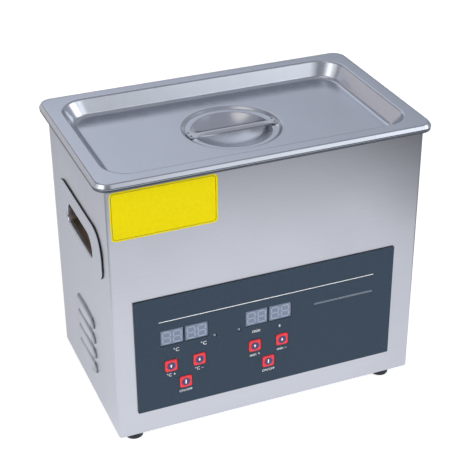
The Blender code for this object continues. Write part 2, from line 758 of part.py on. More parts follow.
def make_lid():
    """The drawn lid: rolled rim, flat border, sloping recess, and a stepped round dish for the fingers."""
    turn = LID_RIM_TURN
    bend = LID_RIM_BEND
    rings = [
        (lid_ring(LID_X - turn, LID_Y - turn, LID_CORNER - turn), LID_Z),
        (lid_ring(LID_X - bend, LID_Y - bend, LID_CORNER - bend), LID_Z),
        (lid_ring(LID_X, LID_Y, LID_CORNER), LID_Z + bend),
    ]
    for away, height in fillet(LID_RIM_ROLL, LID_TOP - LID_RIM_ROLL, "over"):
        rings.append((lid_ring(LID_X - away, LID_Y - away, LID_CORNER - away), height))
    slope = recess_slope()
    for step in range(FILLET_STEPS + 1):
        angle = slope * step / FILLET_STEPS
        inset = RECESS_TOP_FILLET * sin(angle)
        height = LID_TOP - RECESS_TOP_FILLET * (1 - cos(angle))
        rings.append((recess_ring(inset), height))
    for step in range(FILLET_STEPS + 1):
        angle = slope * (1 - step / FILLET_STEPS)
        inset = RECESS_RUN - RECESS_FLOOR_FILLET * sin(angle)
        rings.append((recess_ring(inset), RECESS_Z + RECESS_FLOOR_FILLET * (1 - cos(angle))))
    outline = recess_ring(RECESS_RUN)
    for step in range(FILLET_STEPS + 1):
        share = step / FILLET_STEPS
        drop = DISH_STEP * (1 - cos(pi * share)) / 2
        rings.append((circle_like(outline, DISH_RADIUS - DISH_STEP_RUN * share), RECESS_Z - drop))
    sphere = (BOWL_RADIUS**2 + BOWL_DEPTH**2) / (2 * BOWL_DEPTH)
    rings.append((circle_like(outline, BOWL_RADIUS + BOWL_EDGE), DISH_Z))
    for share in (0.96, 0.78, 0.54, 0.26):
        radius = BOWL_RADIUS * share
        depth = sqrt(sphere**2 - radius**2) - (sphere - BOWL_DEPTH)
        rings.append((circle_like(outline, radius), DISH_Z - depth))
    loft("lid", rings, DRAWN_STEEL, sheet=LID_SHEET, close_last=True)


def recess_slope():
    """The angle of the straight wall that runs tangent to the recess's top and floor fillets."""
    both = RECESS_TOP_FILLET + RECESS_FLOOR_FILLET
    reach = sqrt(RECESS_RUN**2 + RECESS_DEPTH * (RECESS_DEPTH - 2 * both))
    return 2 * atan(RECESS_DEPTH / (RECESS_RUN + reach))


def recess_ring(inset):
    corner = max(TANK_CORNER - 0.5 * inset, 0.001)
    return lid_ring(RECESS_X - inset, RECESS_Y - inset, corner)


def make_strap():
    """The lid's strap handle: a crowned strip over the bowl, with a flat tab welded down at each end."""
    half = BOWL_RADIUS + BOWL_EDGE + SEAT_GAP
    low = DISH_Z + SEAT_GAP + STRAP_SHEET
    crown = STRAP_WIDTH / 2
    tab = STRAP_TAB_WIDTH / 2
    end = sqrt((DISH_RADIUS - DISH_STEP_RUN - CUTOUT_GAP) ** 2 - tab**2)
    stations = [(-end, tab, 0.0), (-half, tab, 0.0)]
    stations += [(-half + 0.004, crown, 0.55), (-half + 0.009, crown, 0.92)]
    stations += [(-half + 0.016, crown, 1.0)]
    stations += [(-x, width, rise) for x, width, rise in reversed(stations)]
    across = [-1, -0.8, -0.4, 0, 0.4, 0.8, 1]
    bm = bmesh.new()
    rows = []
    for x, width, rise in stations:
        row = []
        for share in across:
            height = low + (STRAP_RISE - STRAP_CROWN * share**2) * rise
            row.append(bm.verts.new((x, share * width, height)))
        rows.append(row)
    for first, second in zip(rows, rows[1:]):
        for index in range(len(across) - 1):
            bm.faces.new((first[index], second[index], second[index + 1], first[index + 1]))
    strap = add("lid_handle", mesh_from(bm, "lid_handle"), DRAWN_STEEL)
    strap.data.shade_smooth()
    wall = strap.modifiers.new("wall", "SOLIDIFY")
    wall.thickness = STRAP_SHEET
    wall.offset = -1


def make_handles():
    """Pressed side handles: a raised plate whose finger cup reaches in towards the tank wall."""
    wall_drop = FLANGE_Z - (GRIP_Z + GRIP_HEIGHT)
    tank_x = TANK_MOUTH_WIDTH / 2 + TANK_SHEET - TANK_DRAFT * wall_drop / TANK_WELL
    cup = BODY_WIDTH / 2 - tank_x - TANK_GAP - HANDLE_SHEET

    def plate_ring(inset):
        return rounded(
            HANDLE_LENGTH / 2 - inset,
            HANDLE_HEIGHT / 2 - inset,
            HANDLE_LOW_CORNER - inset,
            HANDLE_TOP_CORNER - inset,
            steps=HANDLE_STEPS,
            middle=(0, HANDLE_HEIGHT / 2 - GRIP_LIFT),
        )

    rings = [(plate_ring(0), SEAT_GAP)]
    for away, height in fillet(HANDLE_EDGE, HANDLE_RAISE - HANDLE_EDGE + SEAT_GAP, "over"):
        rings.append((plate_ring(away), height))
    top = HANDLE_RAISE + SEAT_GAP
    for along, height in fillet(GRIP_EDGE, top, "into"):
        rings.append((grip_outline(GRIP_EDGE - along), height))
    rings.append((grip_outline(-CUP_DRAFT / 2), -cup + CUP_DRAFT))
    rings.append((grip_outline(-CUP_DRAFT), -cup))
    for face, side in (("left", -1), ("right", 1)):
        handle = loft(f"handle_{face}", rings, DRAWN_STEEL, sheet=HANDLE_SHEET, close_last=True)
        place(handle, face, (side * BODY_WIDTH / 2, -HANDLE_AHEAD, GRIP_Z))


def make_panel():
    """The panel film, with windows for the displays and holes for the keys and lamps."""
    middle = (PANEL_X, PANEL_HEIGHT / 2)
    edge = rounded(PANEL_WIDTH / 2, PANEL_HEIGHT / 2, PANEL_CORNER, steps=SMALL_CORNER_STEPS, middle=middle)
    outlines = [edge] + panel_outlines(CUTOUT_GAP, CUTOUT_GAP, CUTOUT_GAP)
    film = flat("control_panel", outlines, PANEL_SHEET, PANEL_FILM)
    place(film, "front", (0, PANEL_Y + PANEL_SHEET / 2, PANEL_Z))


def make_displays():
    """Two-digit display blocks that stand on the board and fill the panel's windows."""
    front = PANEL_Y + DISPLAY_SINK
    depth = BOARD_Y - SEAT_GAP - front
    for name, x in display_places():
        size = (DISPLAY_WIDTH, depth, DISPLAY_HEIGHT)
        at = (x, front + depth / 2, PANEL_Z + DISPLAY_LIFT)
        box(name, size, at, DISPLAY_FACE, bevel=DISPLAY_BEVEL)


def make_keys():
    """Keys with a cap in the panel, a flange behind it and a stem in their switch, and the switches."""
    flange_y = -BODY_DEPTH / 2
    switch_front = BOARD_Y - SEAT_GAP - SWITCH_HEIGHT
    stem_end = PANEL_Y - (switch_front + SWITCH_BORE - KEY_TRAVEL - SEAT_GAP)

    def cap_ring(half):
        return rounded(half, half, min(KEY_CORNER, half * 0.9), steps=SMALL_CORNER_STEPS)

    half = KEY_WIDTH / 2
    flange = half + KEY_FLANGE
    flange_front = PANEL_Y - flange_y
    flange_back = flange_front - KEY_FLANGE_SHEET
    rings = [
        (cap_ring(KEY_STEM_RADIUS), stem_end),
        (cap_ring(KEY_STEM_RADIUS), flange_back),
        (cap_ring(flange), flange_back),
        (cap_ring(flange), flange_front),
        (cap_ring(half), flange_front),
        (cap_ring(half), KEY_PROUD - KEY_EDGE),
        (cap_ring(half - KEY_EDGE), KEY_PROUD),
    ]
    bore = KEY_STEM_RADIUS + CUTOUT_GAP
    body = SWITCH_WIDTH / 2
    switch_rings = [
        (cap_ring(body), 0),
        (cap_ring(body), SWITCH_HEIGHT),
        (cap_ring(bore), SWITCH_HEIGHT),
        (cap_ring(bore), SWITCH_HEIGHT - SWITCH_BORE),
    ]
    for name, x, lift in key_places():
        key = loft(name, rings, RED_KEY, close_first=True, close_last=True)
        place(key, "front", (x, PANEL_Y, PANEL_Z + lift))
        switch_name = name.replace("key", "switch")
        switch = loft(switch_name, switch_rings, SWITCH_BLACK, close_first=True, close_last=True)
        place(switch, "front", (x, BOARD_Y - SEAT_GAP, PANEL_Z + lift))


def make_lamps():
    """Small domed indicator lamps that stand on the board and look through the panel."""
    base = PANEL_Y - (BOARD_Y - SEAT_GAP)
    shoulder = PANEL_Y + BODY_DEPTH / 2 - HOUSING_SHEET
    dome = [(LAMP_RADIUS * (1 - away), LAMP_PROUD - LAMP_RADIUS + LAMP_RADIUS * up) for away, up in arc(1, 0)]
    profile = dome + [
        (LAMP_RADIUS, shoulder),
        (LAMP_RADIUS + LAMP_FLANGE, shoulder),
        (LAMP_RADIUS + LAMP_FLANGE, base),
        (0, base),
    ]
    for name, x in lamp_places():
        turned(name, profile, CLEAR_LENS, (x, PANEL_Y, PANEL_Z + LAMP_LIFT), steps=12, face="front")


def make_display_board():
    left, right = board_span()
    half_x = (right - left) / 2
    half_z = PANEL_HEIGHT / 2 - BOARD_MARGIN
    board = flat("display_board", [rounded(half_x, half_z, BOARD_CORNER, steps=2)], BOARD_SHEET, BOARD_GREEN)
    place(board, "front", ((left + right) / 2, BOARD_Y + BOARD_SHEET / 2, PANEL_Z + PANEL_HEIGHT / 2))


def make_transducer(name, x):
    """A bolt-clamped stack: front mass on the tank, two piezo rings, back mass and bolt."""
    top = TANK_Z - SEAT_GAP
    neck = top - FRONT_MASS_HEIGHT
    bore = BOLT_RADIUS + SEAT_GAP
    blind = neck + BOLT_GRIP + SEAT_GAP
    front = [
        (0, top),
        (FRONT_MASS_RADIUS, top),
        (FRONT_MASS_RADIUS, top - FRONT_MASS_RIM),
        (STACK_RADIUS, neck),
        (bore, neck),
        (bore, blind),
        (0, blind),
    ]
    turned(f"front_mass_{name}", front, ALUMINIUM, (x, 0, 0))
    high = PIEZO_Z
    for ring in ("upper", "lower"):
        low = high - PIEZO_THICKNESS
        profile = [(STACK_RADIUS, high), (STACK_RADIUS, low), (PIEZO_BORE, low), (PIEZO_BORE, high)]
        turned(f"piezo_ring_{name}_{ring}", profile, PIEZO_CERAMIC, (x, 0, 0), ring=True)
        high = low - SEAT_GAP
    low = BACK_MASS_Z - BACK_MASS_HEIGHT
    back = [(STACK_RADIUS, BACK_MASS_Z), (STACK_RADIUS, low), (bore, low), (bore, BACK_MASS_Z)]
    turned(f"back_mass_{name}", back, PLATED_STEEL, (x, 0, 0), ring=True)
    head = low - SEAT_GAP
    bolt = [
        (0, neck + BOLT_GRIP),
        (BOLT_RADIUS, neck + BOLT_GRIP),
        (BOLT_RADIUS, head),
        (BOLT_HEAD_RADIUS, head),
        (BOLT_HEAD_RADIUS, BOLT_Z),
        (0, BOLT_Z),
    ]
    turned(f"stack_bolt_{name}", bolt, PLATED_STEEL, (x, 0, 0), steps=12)


def make_heating():
    """Heater pads on the tank's long walls, and the sensor and thermal cut-out under its floor."""
    lean = atan(TANK_DRAFT / TANK_WELL)
    wall_y = TANK_MOUTH_DEPTH / 2 - TANK_DRAFT * PAD_DROP / TANK_WELL
    out = (TANK_SHEET + SEAT_GAP + PAD_SHEET / 2) / cos(lean)
    for name, side in (("heater_pad_front", -1), ("heater_pad_rear", 1)):
        size = (PAD_LENGTH, PAD_SHEET, PAD_HEIGHT)
        pad = box(name, size, (0, side * (wall_y + out), FLANGE_Z - PAD_DROP), HEATER_ORANGE)
        pad.rotation_euler = (-side * lean, 0, 0)
    top = TANK_Z - SEAT_GAP
    for name, radius, height, y, material in (
        ("temperature_sensor", SENSOR_RADIUS, SENSOR_HEIGHT, SENSOR_OFFSET, PLATED_STEEL),
        ("thermal_cutout", CUTOUT_RADIUS, CUTOUT_HEIGHT, -SENSOR_OFFSET, SWITCH_BLACK),
    ):
        profile = [(0, top), (radius, top), (radius, top - height), (0, top - height)]
        turned(name, profile, material, (0, y, 0), steps=16)


def generator_corners():
    """Where the generator board's bosses stand."""
    inset = 2 * BOSS_RADIUS
    for side_x in (-1, 1):
        for side_y in (-1, 1):
            yield GENERATOR_X + side_x * (GENERATOR_WIDTH / 2 - inset), side_y * (GENERATOR_DEPTH / 2 - inset)


def make_generator():
    """The ultrasonic generator: its board, heat sink and transistors, transformer, capacitor and relay."""
    outline = rounded(GENERATOR_WIDTH / 2, GENERATOR_DEPTH / 2, BOARD_CORNER, steps=2)
    board = flat("generator_board", [outline], BOARD_SHEET, BOARD_GREEN)
    place(board, "top", (GENERATOR_X, 0, GENERATOR_Z + BOARD_SHEET / 2))
    seat = GENERATOR_TOP + SEAT_GAP

    sink = flat("heat_sink", [sink_outline()], SINK_HEIGHT, ALUMINIUM)
    place(sink, "top", (SINK_X, 0, seat + SINK_HEIGHT / 2))
    for name, side in (("power_transistor_left", -1), ("power_transistor_right", 1)):
        size = (TRANSISTOR_WIDTH, TRANSISTOR_SHEET, TRANSISTOR_HEIGHT)
        y = -SINK_DEPTH / 2 - SEAT_GAP - TRANSISTOR_SHEET / 2
        at = (SINK_X + side * TRANSISTOR_PITCH / 2, y, seat + TRANSISTOR_HEIGHT / 2)
        box(name, size, at, SWITCH_BLACK, bevel=DISPLAY_BEVEL)

    window_x = (CORE_WIDTH - CORE_MIDDLE_LEG - 2 * CORE_LEG) / 2
    window_y = CORE_HEIGHT - 2 * CORE_LEG
    corner = BOARD_CORNER / 4
    outlines = [rounded(CORE_WIDTH / 2, CORE_HEIGHT / 2, corner, steps=1)]
    for side in (-1, 1):
        middle = (side * (CORE_MIDDLE_LEG + window_x) / 2, 0)
        outlines.append(rounded(window_x / 2, window_y / 2, corner, steps=1, middle=middle))
    core = flat("transformer_core", outlines, CORE_DEPTH, FERRITE)
    place(core, "front", (CORE_X, CORE_Y, seat + CORE_HEIGHT / 2))
    inner_x = CORE_MIDDLE_LEG / 2 + CUTOUT_GAP
    inner_y = CORE_DEPTH / 2 + CUTOUT_GAP
    outlines = [
        rounded(inner_x + COIL_WALL, inner_y + COIL_WALL, COIL_WALL, steps=SMALL_CORNER_STEPS),
        rounded(inner_x, inner_y, corner, steps=1),
    ]
    coil = flat("transformer_coil", outlines, window_y - 2 * CUTOUT_GAP, COIL_TAPE)
    place(coil, "top", (CORE_X, CORE_Y, seat + CORE_HEIGHT / 2))

    profile = [
        (0, seat + CAPACITOR_HEIGHT),
        (CAPACITOR_RADIUS, seat + CAPACITOR_HEIGHT),
        (CAPACITOR_RADIUS, seat),
        (0, seat),
    ]
    turned("filter_capacitor", profile, SWITCH_BLACK, (CAPACITOR_X, CAPACITOR_Y, 0), steps=20)
    at = (RELAY_X, RELAY_Y, seat + RELAY_SIZE[2] / 2)
    box("heater_relay", RELAY_SIZE, at, SWITCH_BLACK, bevel=DISPLAY_BEVEL)


def sink_outline():
    """A comb seen from above: a base plate at the front with fins that run to the back."""
    half = SINK_LENGTH / 2
    front = -SINK_DEPTH / 2
    root = front + SINK_BASE
    back = SINK_DEPTH / 2
    points = [(-half, front), (half, front)]
    pitch = (SINK_LENGTH - FIN_SHEET) / (FIN_COUNT - 1)
    for fin in reversed(range(FIN_COUNT)):
        left = -half + fin * pitch
        right = left + FIN_SHEET
        if fin < FIN_COUNT - 1:
            points.append((right, root))
        points += [(right, back), (left, back)]
        if fin:
            points.append((left, root))
    return points


def make_ribbon():
    """The flat cable from the back of the display board down to the generator board."""
    start_y = BOARD_Y + BOARD_SHEET + SEAT_GAP + RIBBON_SHEET
    start_z = PANEL_Z + 2 * BOARD_MARGIN
    end_z = GENERATOR_TOP + SEAT_GAP + RIBBON_SHEET
    end_y = -GENERATOR_DEPTH / 2 + 2 * RIBBON_BEND
    path = [(start_y, start_z)]
    bend = min(RIBBON_BEND, start_z - end_z)
    for step in range(2 * FILLET_STEPS + 1):
        angle = step / (2 * FILLET_STEPS) * pi / 2
        path.append((start_y + bend * (1 - cos(angle)), end_z + bend * (1 - sin(angle))))
    path.append((end_y, end_z))
    bm = bmesh.new()
    rows = []
    for y, z in path:
        rows.append([bm.verts.new((RIBBON_X + side * RIBBON_WIDTH / 2, y, z)) for side in (-1, 1)])
    for first, second in zip(rows, rows[1:]):
        bm.faces.new((first[0], first[1], second[1], second[0]))
    ribbon = add("ribbon_cable", mesh_from(bm, "ribbon_cable"), RIBBON_GREY)
    wall = ribbon.modifiers.new("wall", "SOLIDIFY")
    wall.thickness = RIBBON_SHEET
    wall.offset = -1


def socket_outline():
    """A rectangle with its two upper corners cut off."""
    x = SOCKET_WIDTH / 2
    y = SOCKET_HEIGHT / 2
    cut = SOCKET_CHAMFER
    return [(x, -y), (x, y - cut), (x - cut, y), (-x + cut, y), (-x, y - cut), (-x, -y)]


def make_inlet():
    """The mains inlet: a flange outside the rear wall, a socket with three blades, and the drawer's slot."""
    wall = BODY_DEPTH / 2
    outer = wall + SEAT_GAP + INLET_FLANGE_SHEET
    outline = rounded(INLET_FLANGE_WIDTH / 2, INLET_FLANGE_HEIGHT / 2, INLET_CORNER)
    inlet = flat("mains_inlet", [outline], INLET_FLANGE_SHEET, SWITCH_BLACK)
    place(inlet, "rear", (INLET_X, outer - INLET_FLANGE_SHEET / 2, INLET_Z))
    inlet = as_mesh(inlet)
    overlap = INLET_FLANGE_SHEET / 2
    depth = INLET_BODY_DEPTH + SEAT_GAP + overlap
    size = (INLET_BODY_WIDTH, depth, INLET_BODY_HEIGHT)
    body = box("inlet_body", size, (INLET_X, outer - overlap - depth / 2, INLET_Z), None, CUTTERS)
    boolean(inlet, body, "UNION")
    socket = flat("inlet_socket", [socket_outline()], 2 * SOCKET_DEPTH, None, CUTTERS)
    place(socket, "rear", (INLET_X, outer, INLET_Z + SOCKET_LIFT))
    boolean(inlet, as_mesh(socket, CUTTERS), "DIFFERENCE")
    slot_depth = DRAWER_DEPTH + CUTOUT_GAP
    size = (DRAWER_WIDTH + 2 * CUTOUT_GAP, 2 * slot_depth, DRAWER_HEIGHT + 2 * CUTOUT_GAP)
    slot = box("drawer_slot", size, (INLET_X, outer, INLET_Z - DRAWER_DROP), None, CUTTERS)
    boolean(inlet, slot, "DIFFERENCE")
    floor = outer - SOCKET_DEPTH
    for x, lift in ((-BLADE_PITCH / 2, -EARTH_LIFT), (0, EARTH_LIFT), (BLADE_PITCH / 2, -EARTH_LIFT)):
        length = BLADE_LENGTH + overlap
        size = (BLADE_WIDTH, length, BLADE_HEIGHT)
        at = (INLET_X + x, floor - overlap + length / 2, INLET_Z + SOCKET_LIFT + lift)
        boolean(inlet, box("inlet_blade", size, at, None, CUTTERS), "UNION")
    make_fuse_drawer(outer)


def make_fuse_drawer(outer):
    """The drawer in the inlet's slot, open at its top, and the fuse that lies in it."""
    axis_z = INLET_Z - DRAWER_DROP
    middle_y = outer - DRAWER_DEPTH / 2
    half_x = DRAWER_WIDTH / 2
    half_y = DRAWER_DEPTH / 2
    half_z = DRAWER_HEIGHT / 2
    corner = DISPLAY_BEVEL
    floor = DRAWER_WALL - half_z
    outside = rounded(half_x, half_y, corner, steps=1)
    cradle = rounded(FUSE_RADIUS + CUTOUT_GAP, half_y - DRAWER_WALL, corner, steps=1)
    rings = [
        (outside, -half_z),
        (outside, half_z),
        (cradle, half_z),
        (cradle, floor),
    ]
    drawer = loft("fuse_drawer", rings, SWITCH_BLACK, close_first=True, close_last=True)
    drawer.location = (INLET_X, middle_y, axis_z)
    overlap = DRAWER_WALL / 2
    thick = DRAWER_FACE + SEAT_GAP + overlap
    size = (DRAWER_FACE_WIDTH, DRAWER_FACE, DRAWER_FACE_HEIGHT)
    at = (INLET_X, outer + SEAT_GAP + DRAWER_FACE / 2, axis_z)
    neck_size = (DRAWER_WIDTH - 2 * DRAWER_WALL, thick, DRAWER_HEIGHT - DRAWER_WALL)
    neck_at = (INLET_X, outer - overlap + thick / 2 - DRAWER_FACE / 4, axis_z)
    boolean(drawer, box("drawer_neck", neck_size, neck_at, None, CUTTERS), "UNION")
    boolean(drawer, box("drawer_face", size, at, None, CUTTERS), "UNION")
    end = FUSE_LENGTH / 2
    profile = [(0, end), (FUSE_RADIUS, end), (FUSE_RADIUS, -end), (0, -end)]
    turned(
        "fuse",
        profile,
        FUSE_GLASS,
        (INLET_X, middle_y, axis_z + floor + SEAT_GAP + FUSE_RADIUS),
        steps=12,
        face="rear",
    )


make_housing()
make_base()
make_feet()
make_tank()
make_gasket()
make_lid()
make_strap()
make_handles()
make_panel()
make_displays()
make_keys()
make_lamps()
make_display_board()
for side, place_x in (("left", -TRANSDUCER_PITCH / 2), ("right", TRANSDUCER_PITCH / 2)):
    make_transducer(side, place_x)
make_heating()
make_generator()
make_ribbon()
make_inlet()
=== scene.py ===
"""Looks for a benchtop ultrasonic cleaner: steel housing and lid, film keypad, rubber feet and rear inlet."""

import bmesh
import bpy
import numpy as np
from mathutils import Matrix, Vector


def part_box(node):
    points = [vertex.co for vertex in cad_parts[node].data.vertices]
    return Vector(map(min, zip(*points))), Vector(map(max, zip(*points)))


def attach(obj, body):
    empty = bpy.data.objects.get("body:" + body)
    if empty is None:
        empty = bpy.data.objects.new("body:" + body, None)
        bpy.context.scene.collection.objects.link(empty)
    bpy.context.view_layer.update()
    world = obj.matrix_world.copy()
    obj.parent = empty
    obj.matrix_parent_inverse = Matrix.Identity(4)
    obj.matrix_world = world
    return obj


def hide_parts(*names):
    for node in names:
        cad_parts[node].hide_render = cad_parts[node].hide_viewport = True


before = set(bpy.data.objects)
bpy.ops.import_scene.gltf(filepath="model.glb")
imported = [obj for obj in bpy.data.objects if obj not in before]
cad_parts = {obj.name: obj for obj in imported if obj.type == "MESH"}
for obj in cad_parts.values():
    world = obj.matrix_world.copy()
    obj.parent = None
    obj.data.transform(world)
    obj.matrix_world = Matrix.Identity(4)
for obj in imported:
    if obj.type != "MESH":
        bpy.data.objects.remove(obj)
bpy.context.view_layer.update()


# Housing
# One stainless sheet, folded into a wrapper with a return at the top and bottom and louvres pressed into
# its sides. The satin grain runs level round all four walls.

housing_half_x = 0.1253
housing_half_y = 0.0750
housing_low = 0.0114
housing_top = 0.2273


def linear(hex_colour):
    """sRGB hex to linear: c / 12.92 below 0.04045, else ((c + 0.055) / 1.055) to the power 2.4."""
    parts = np.array([int(hex_colour[i : i + 2], 16) for i in (0, 2, 4)]) / 255
    made = np.where(parts <= 0.04045, parts / 12.92, ((parts + 0.055) / 1.055) ** 2.4)
    return (*(float(part) for part in made), 1.0)


def node(tree, kind, inputs=(), **settings):
    """Adds a node, gives it its settings, and sets or links each named input."""
    made = tree.nodes.new(kind)
    for name, value in settings.items():
        setattr(made, name, value)
    for name, value in dict(inputs).items():
        if isinstance(value, bpy.types.NodeSocket):
            tree.links.new(value, made.inputs[name])
        else:
            made.inputs[name].default_value = value
    return made


def empty_finish(name):
    """A material with its node tree, its Principled shader and Object coordinates in metres."""
    made = bpy.data.materials.new(name)
    made.use_nodes = True
    tree = made.node_tree
    return made, tree, tree.nodes["Principled BSDF"], node(tree, "ShaderNodeTexCoord").outputs["Object"]


def steel(name, colour, smooth, rough, grain_mm, grain_bump):
    """Stainless sheet: fine streaks of grain_mm (length x, length y, width z) vary roughness, tone and bump.

    A broad cloud joins the streaks in the roughness, which runs from smooth to rough. The streaks are drawn
    several times coarser than real polishing lines, so that they show in the render.
    """
    cloud_mm = 60
    tone_range = {"To Min": 0.93, "To Max": 1.05}
    noise_range = {"From Min": 0.6, "From Max": 1.4}
    bump_height = 0.0001
    made, tree, shader, at = empty_finish(name)
    scale = tuple(1000 / size for size in grain_mm)
    lines = node(tree, "ShaderNodeMapping", {"Vector": at, "Scale": scale})
    on_lines = {"Vector": lines.outputs["Vector"], "Scale": 1.0, "Detail": 4.0}
    streaks = node(tree, "ShaderNodeTexNoise", on_lines).outputs["Fac"]
    cloud = node(tree, "ShaderNodeTexNoise", {"Vector": at, "Scale": 1000 / cloud_mm, "Detail": 2.0})
    tone = node(tree, "ShaderNodeMapRange", {"Value": streaks, **tone_range})
    shades = {0: linear(colour)[:3], "Scale": tone.outputs["Result"]}
    tinted = node(tree, "ShaderNodeVectorMath", shades, operation="SCALE")
    tree.links.new(tinted.outputs["Vector"], shader.inputs["Base Color"])
    both = node(tree, "ShaderNodeMath", {0: streaks, 1: cloud.outputs["Fac"]}, operation="ADD")
    dullness = {"Value": both.outputs["Value"], **noise_range, "To Min": smooth, "To Max": rough}
    gloss = node(tree, "ShaderNodeMapRange", dullness)
    tree.links.new(gloss.outputs["Result"], shader.inputs["Roughness"])
    lines_up = {"Height": streaks, "Strength": grain_bump, "Distance": bump_height}
    bump = node(tree, "ShaderNodeBump", lines_up)
    tree.links.new(bump.outputs["Normal"], shader.inputs["Normal"])
    shader.inputs["Metallic"].default_value = 1.0
    return made


def paint_shade(finish, colour, *fades):
    """Paints a shade tone into a finish by place, where the largest of the fades is the share of its own
    tone.

    A fade is (axis, none, full): a smooth step from 0 at none to 1 at full, in metres along Y, or outwards
    from the middle along X.
    """
    tree = finish.node_tree
    shader = tree.nodes["Principled BSDF"]
    own_tone = shader.inputs["Base Color"].links[0].from_socket
    place = node(tree, "ShaderNodeTexCoord").outputs["Object"]
    along = node(tree, "ShaderNodeSeparateXYZ", {"Vector": place}).outputs
    outwards = node(tree, "ShaderNodeMath", {0: along["X"]}, operation="ABSOLUTE").outputs["Value"]
    share = 0.0
    for axis, none, full in fades:
        steps = {"Value": outwards if axis == "X" else along[axis], "From Min": none, "From Max": full}
        fade = node(tree, "ShaderNodeMapRange", steps, interpolation_type="SMOOTHSTEP")
        larger = {0: share, 1: fade.outputs["Result"]}
        share = node(tree, "ShaderNodeMath", larger, operation="MAXIMUM").outputs["Value"]
    mixed = node(tree, "ShaderNodeMix", {0: share, 6: linear(colour), 7: own_tone}, data_type="RGBA")
    tree.links.new(mixed.outputs[2], shader.inputs["Base Color"])


# Satin stainless has fine level lines that stretch its reflections up and down. At the root of each louvre it
# has painted shade, a darker tone that fades out towards the lip.
brushed_stainless = steel("satin_brushed_stainless", "D3D4D8", 0.26, 0.36, (60, 60, 0.6), 0.10)
hood_root = 0.00006
hood_bright = 0.0026
wall_fade = ("X", housing_half_x + hood_root, housing_half_x + hood_root / 2)
lip_fade = ("X", housing_half_x, housing_half_x + hood_bright)
paint_shade(brushed_stainless, "94969C", wall_fade, lip_fade)


def fitted(piece, finish, body, slot, *stands_for):
    """Gives a finished piece its material, its CAD body and the nodes that it stands for. slot is not used.
    """
    piece.data.materials.clear()
    piece.data.materials.append(finish)
    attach(piece, body)
    if stands_for:
        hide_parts(*stands_for)
    return piece


def smooth_copy(name, cad_node, sharp=50):
    """The CAD node's mesh, merged, and smooth by face area except at edges over sharp degrees."""
    merge_gap = 1e-6
    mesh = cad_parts[cad_node].data.copy()
    merged = bmesh.new()
    merged.from_mesh(mesh)
    bmesh.ops.remove_doubles(merged, verts=merged.verts, dist=merge_gap)
    merged.to_mesh(mesh)
    merged.free()
    mesh.shade_smooth()
    mesh.set_sharp_from_angle(angle=np.radians(sharp))
    piece = bpy.data.objects.new(name, mesh)
    bpy.context.scene.collection.objects.link(piece)
    even = piece.modifiers.new("even", "WEIGHTED_NORMAL")
    even.keep_sharp = True
    even.weight = 100
    return piece


fitted(smooth_copy("housing_wrapper", "housing"), brushed_stainless, "chassis", "brushed_steel", "housing")


# Rear seam
# The wrapper's ends meet in the middle of the rear wall. A narrow strip of the same sheet is spot welded over
# the joint, and its long edges are pressed down to the wall.
def grid_faces(rows, columns, wrap=True):
    """Quads of a grid whose points run row by row. With wrap, each row closes on itself."""
    first = np.arange(rows - 1)[:, None] * columns
    here = np.arange(columns if wrap else columns - 1)[None, :]
    after = (here + 1) % columns
    quads = np.stack([first + here, first + after, first + columns + after, first + columns + here], axis=-1)
    return quads.reshape(-1, 4)


def surface(name, points, faces, sharp=40):
    """A mesh object at the origin from points and faces, smooth except at edges over sharp degrees."""
    mesh = bpy.data.meshes.new(name)
    corners = [[int(corner) for corner in face] for face in faces]
    mesh.from_pydata(np.asarray(points, float).reshape(-1, 3).tolist(), [], corners)
    mesh.shade_smooth()
    mesh.set_sharp_from_angle(angle=np.radians(sharp))
    piece = bpy.data.objects.new(name, mesh)
    bpy.context.scene.collection.objects.link(piece)
    return piece


seam_half = 0.006
seam_lift = 0.0004
seam_short = 0.004
seam_bevel = 1 / 6
across = np.linspace(-1, 1, 9)
along = np.linspace(housing_low + seam_short, housing_top - seam_short, 40)
edge = np.clip((1 - np.abs(across)) / seam_bevel, 0, 1) ** 0.5
seam_parts = (seam_half * across[None, :], housing_half_y + seam_lift * edge[None, :], along[:, None])
seam_points = np.stack(np.broadcast_arrays(*seam_parts), axis=-1)
seam_faces = grid_faces(len(along), len(across), wrap=False)[:, ::-1]
seam = surface("rear_seam_strip", seam_points, seam_faces)
fitted(seam, brushed_stainless, "chassis", "brushed_steel")


# Base plate
# A flat sheet of the same satin stainless, slotted for air. It is screwed up against the wrapper's lower
# return.
fitted(smooth_copy("base_sheet", "base_plate"), brushed_stainless, "chassis", "brushed_steel", "base_plate")


# Feet
# Black rubber, moulded with a slight taper and a rounded floor edge. Each is held by one screw in its bore.
def moulded(name, colour, shade, rough, grain_mm, bump_strength):
    """A moulded or cast surface: fine noise of grain_mm mixes two colours and lifts a faint bump."""
    shade_to, colour_from = 0.3, 0.7
    bump_height = 0.0001
    made, tree, shader, at = empty_finish(name)
    grain = node(tree, "ShaderNodeTexNoise", {"Vector": at, "Scale": 1000 / grain_mm, "Detail": 3.0})
    mixed = node(tree, "ShaderNodeValToRGB", {"Fac": grain.outputs["Fac"]})
    mixed.color_ramp.elements[0].position = shade_to
    mixed.color_ramp.elements[0].color = linear(shade)
    mixed.color_ramp.elements[1].position = colour_from
    mixed.color_ramp.elements[1].color = linear(colour)
    tree.links.new(mixed.outputs["Color"], shader.inputs["Base Color"])
    shader.inputs["Roughness"].default_value = rough
    lift = {"Height": grain.outputs["Fac"], "Strength": bump_strength, "Distance": bump_height}
    bump = node(tree, "ShaderNodeBump", lift)
    tree.links.new(bump.outputs["Normal"], shader.inputs["Normal"])
    return made


def turned_points(profile, centre, turns):
    """A profile of (radius, height) turned about z: (r cos t, r sin t, h) moved to the centre."""
    radius, height = np.asarray(profile, float).T
    angle = np.linspace(0, 2 * np.pi, turns, endpoint=False)
    parts = (radius[:, None] * np.cos(angle), radius[:, None] * np.sin(angle), height[:, None])
    return np.stack(np.broadcast_arrays(*parts), axis=-1) + np.asarray(centre)


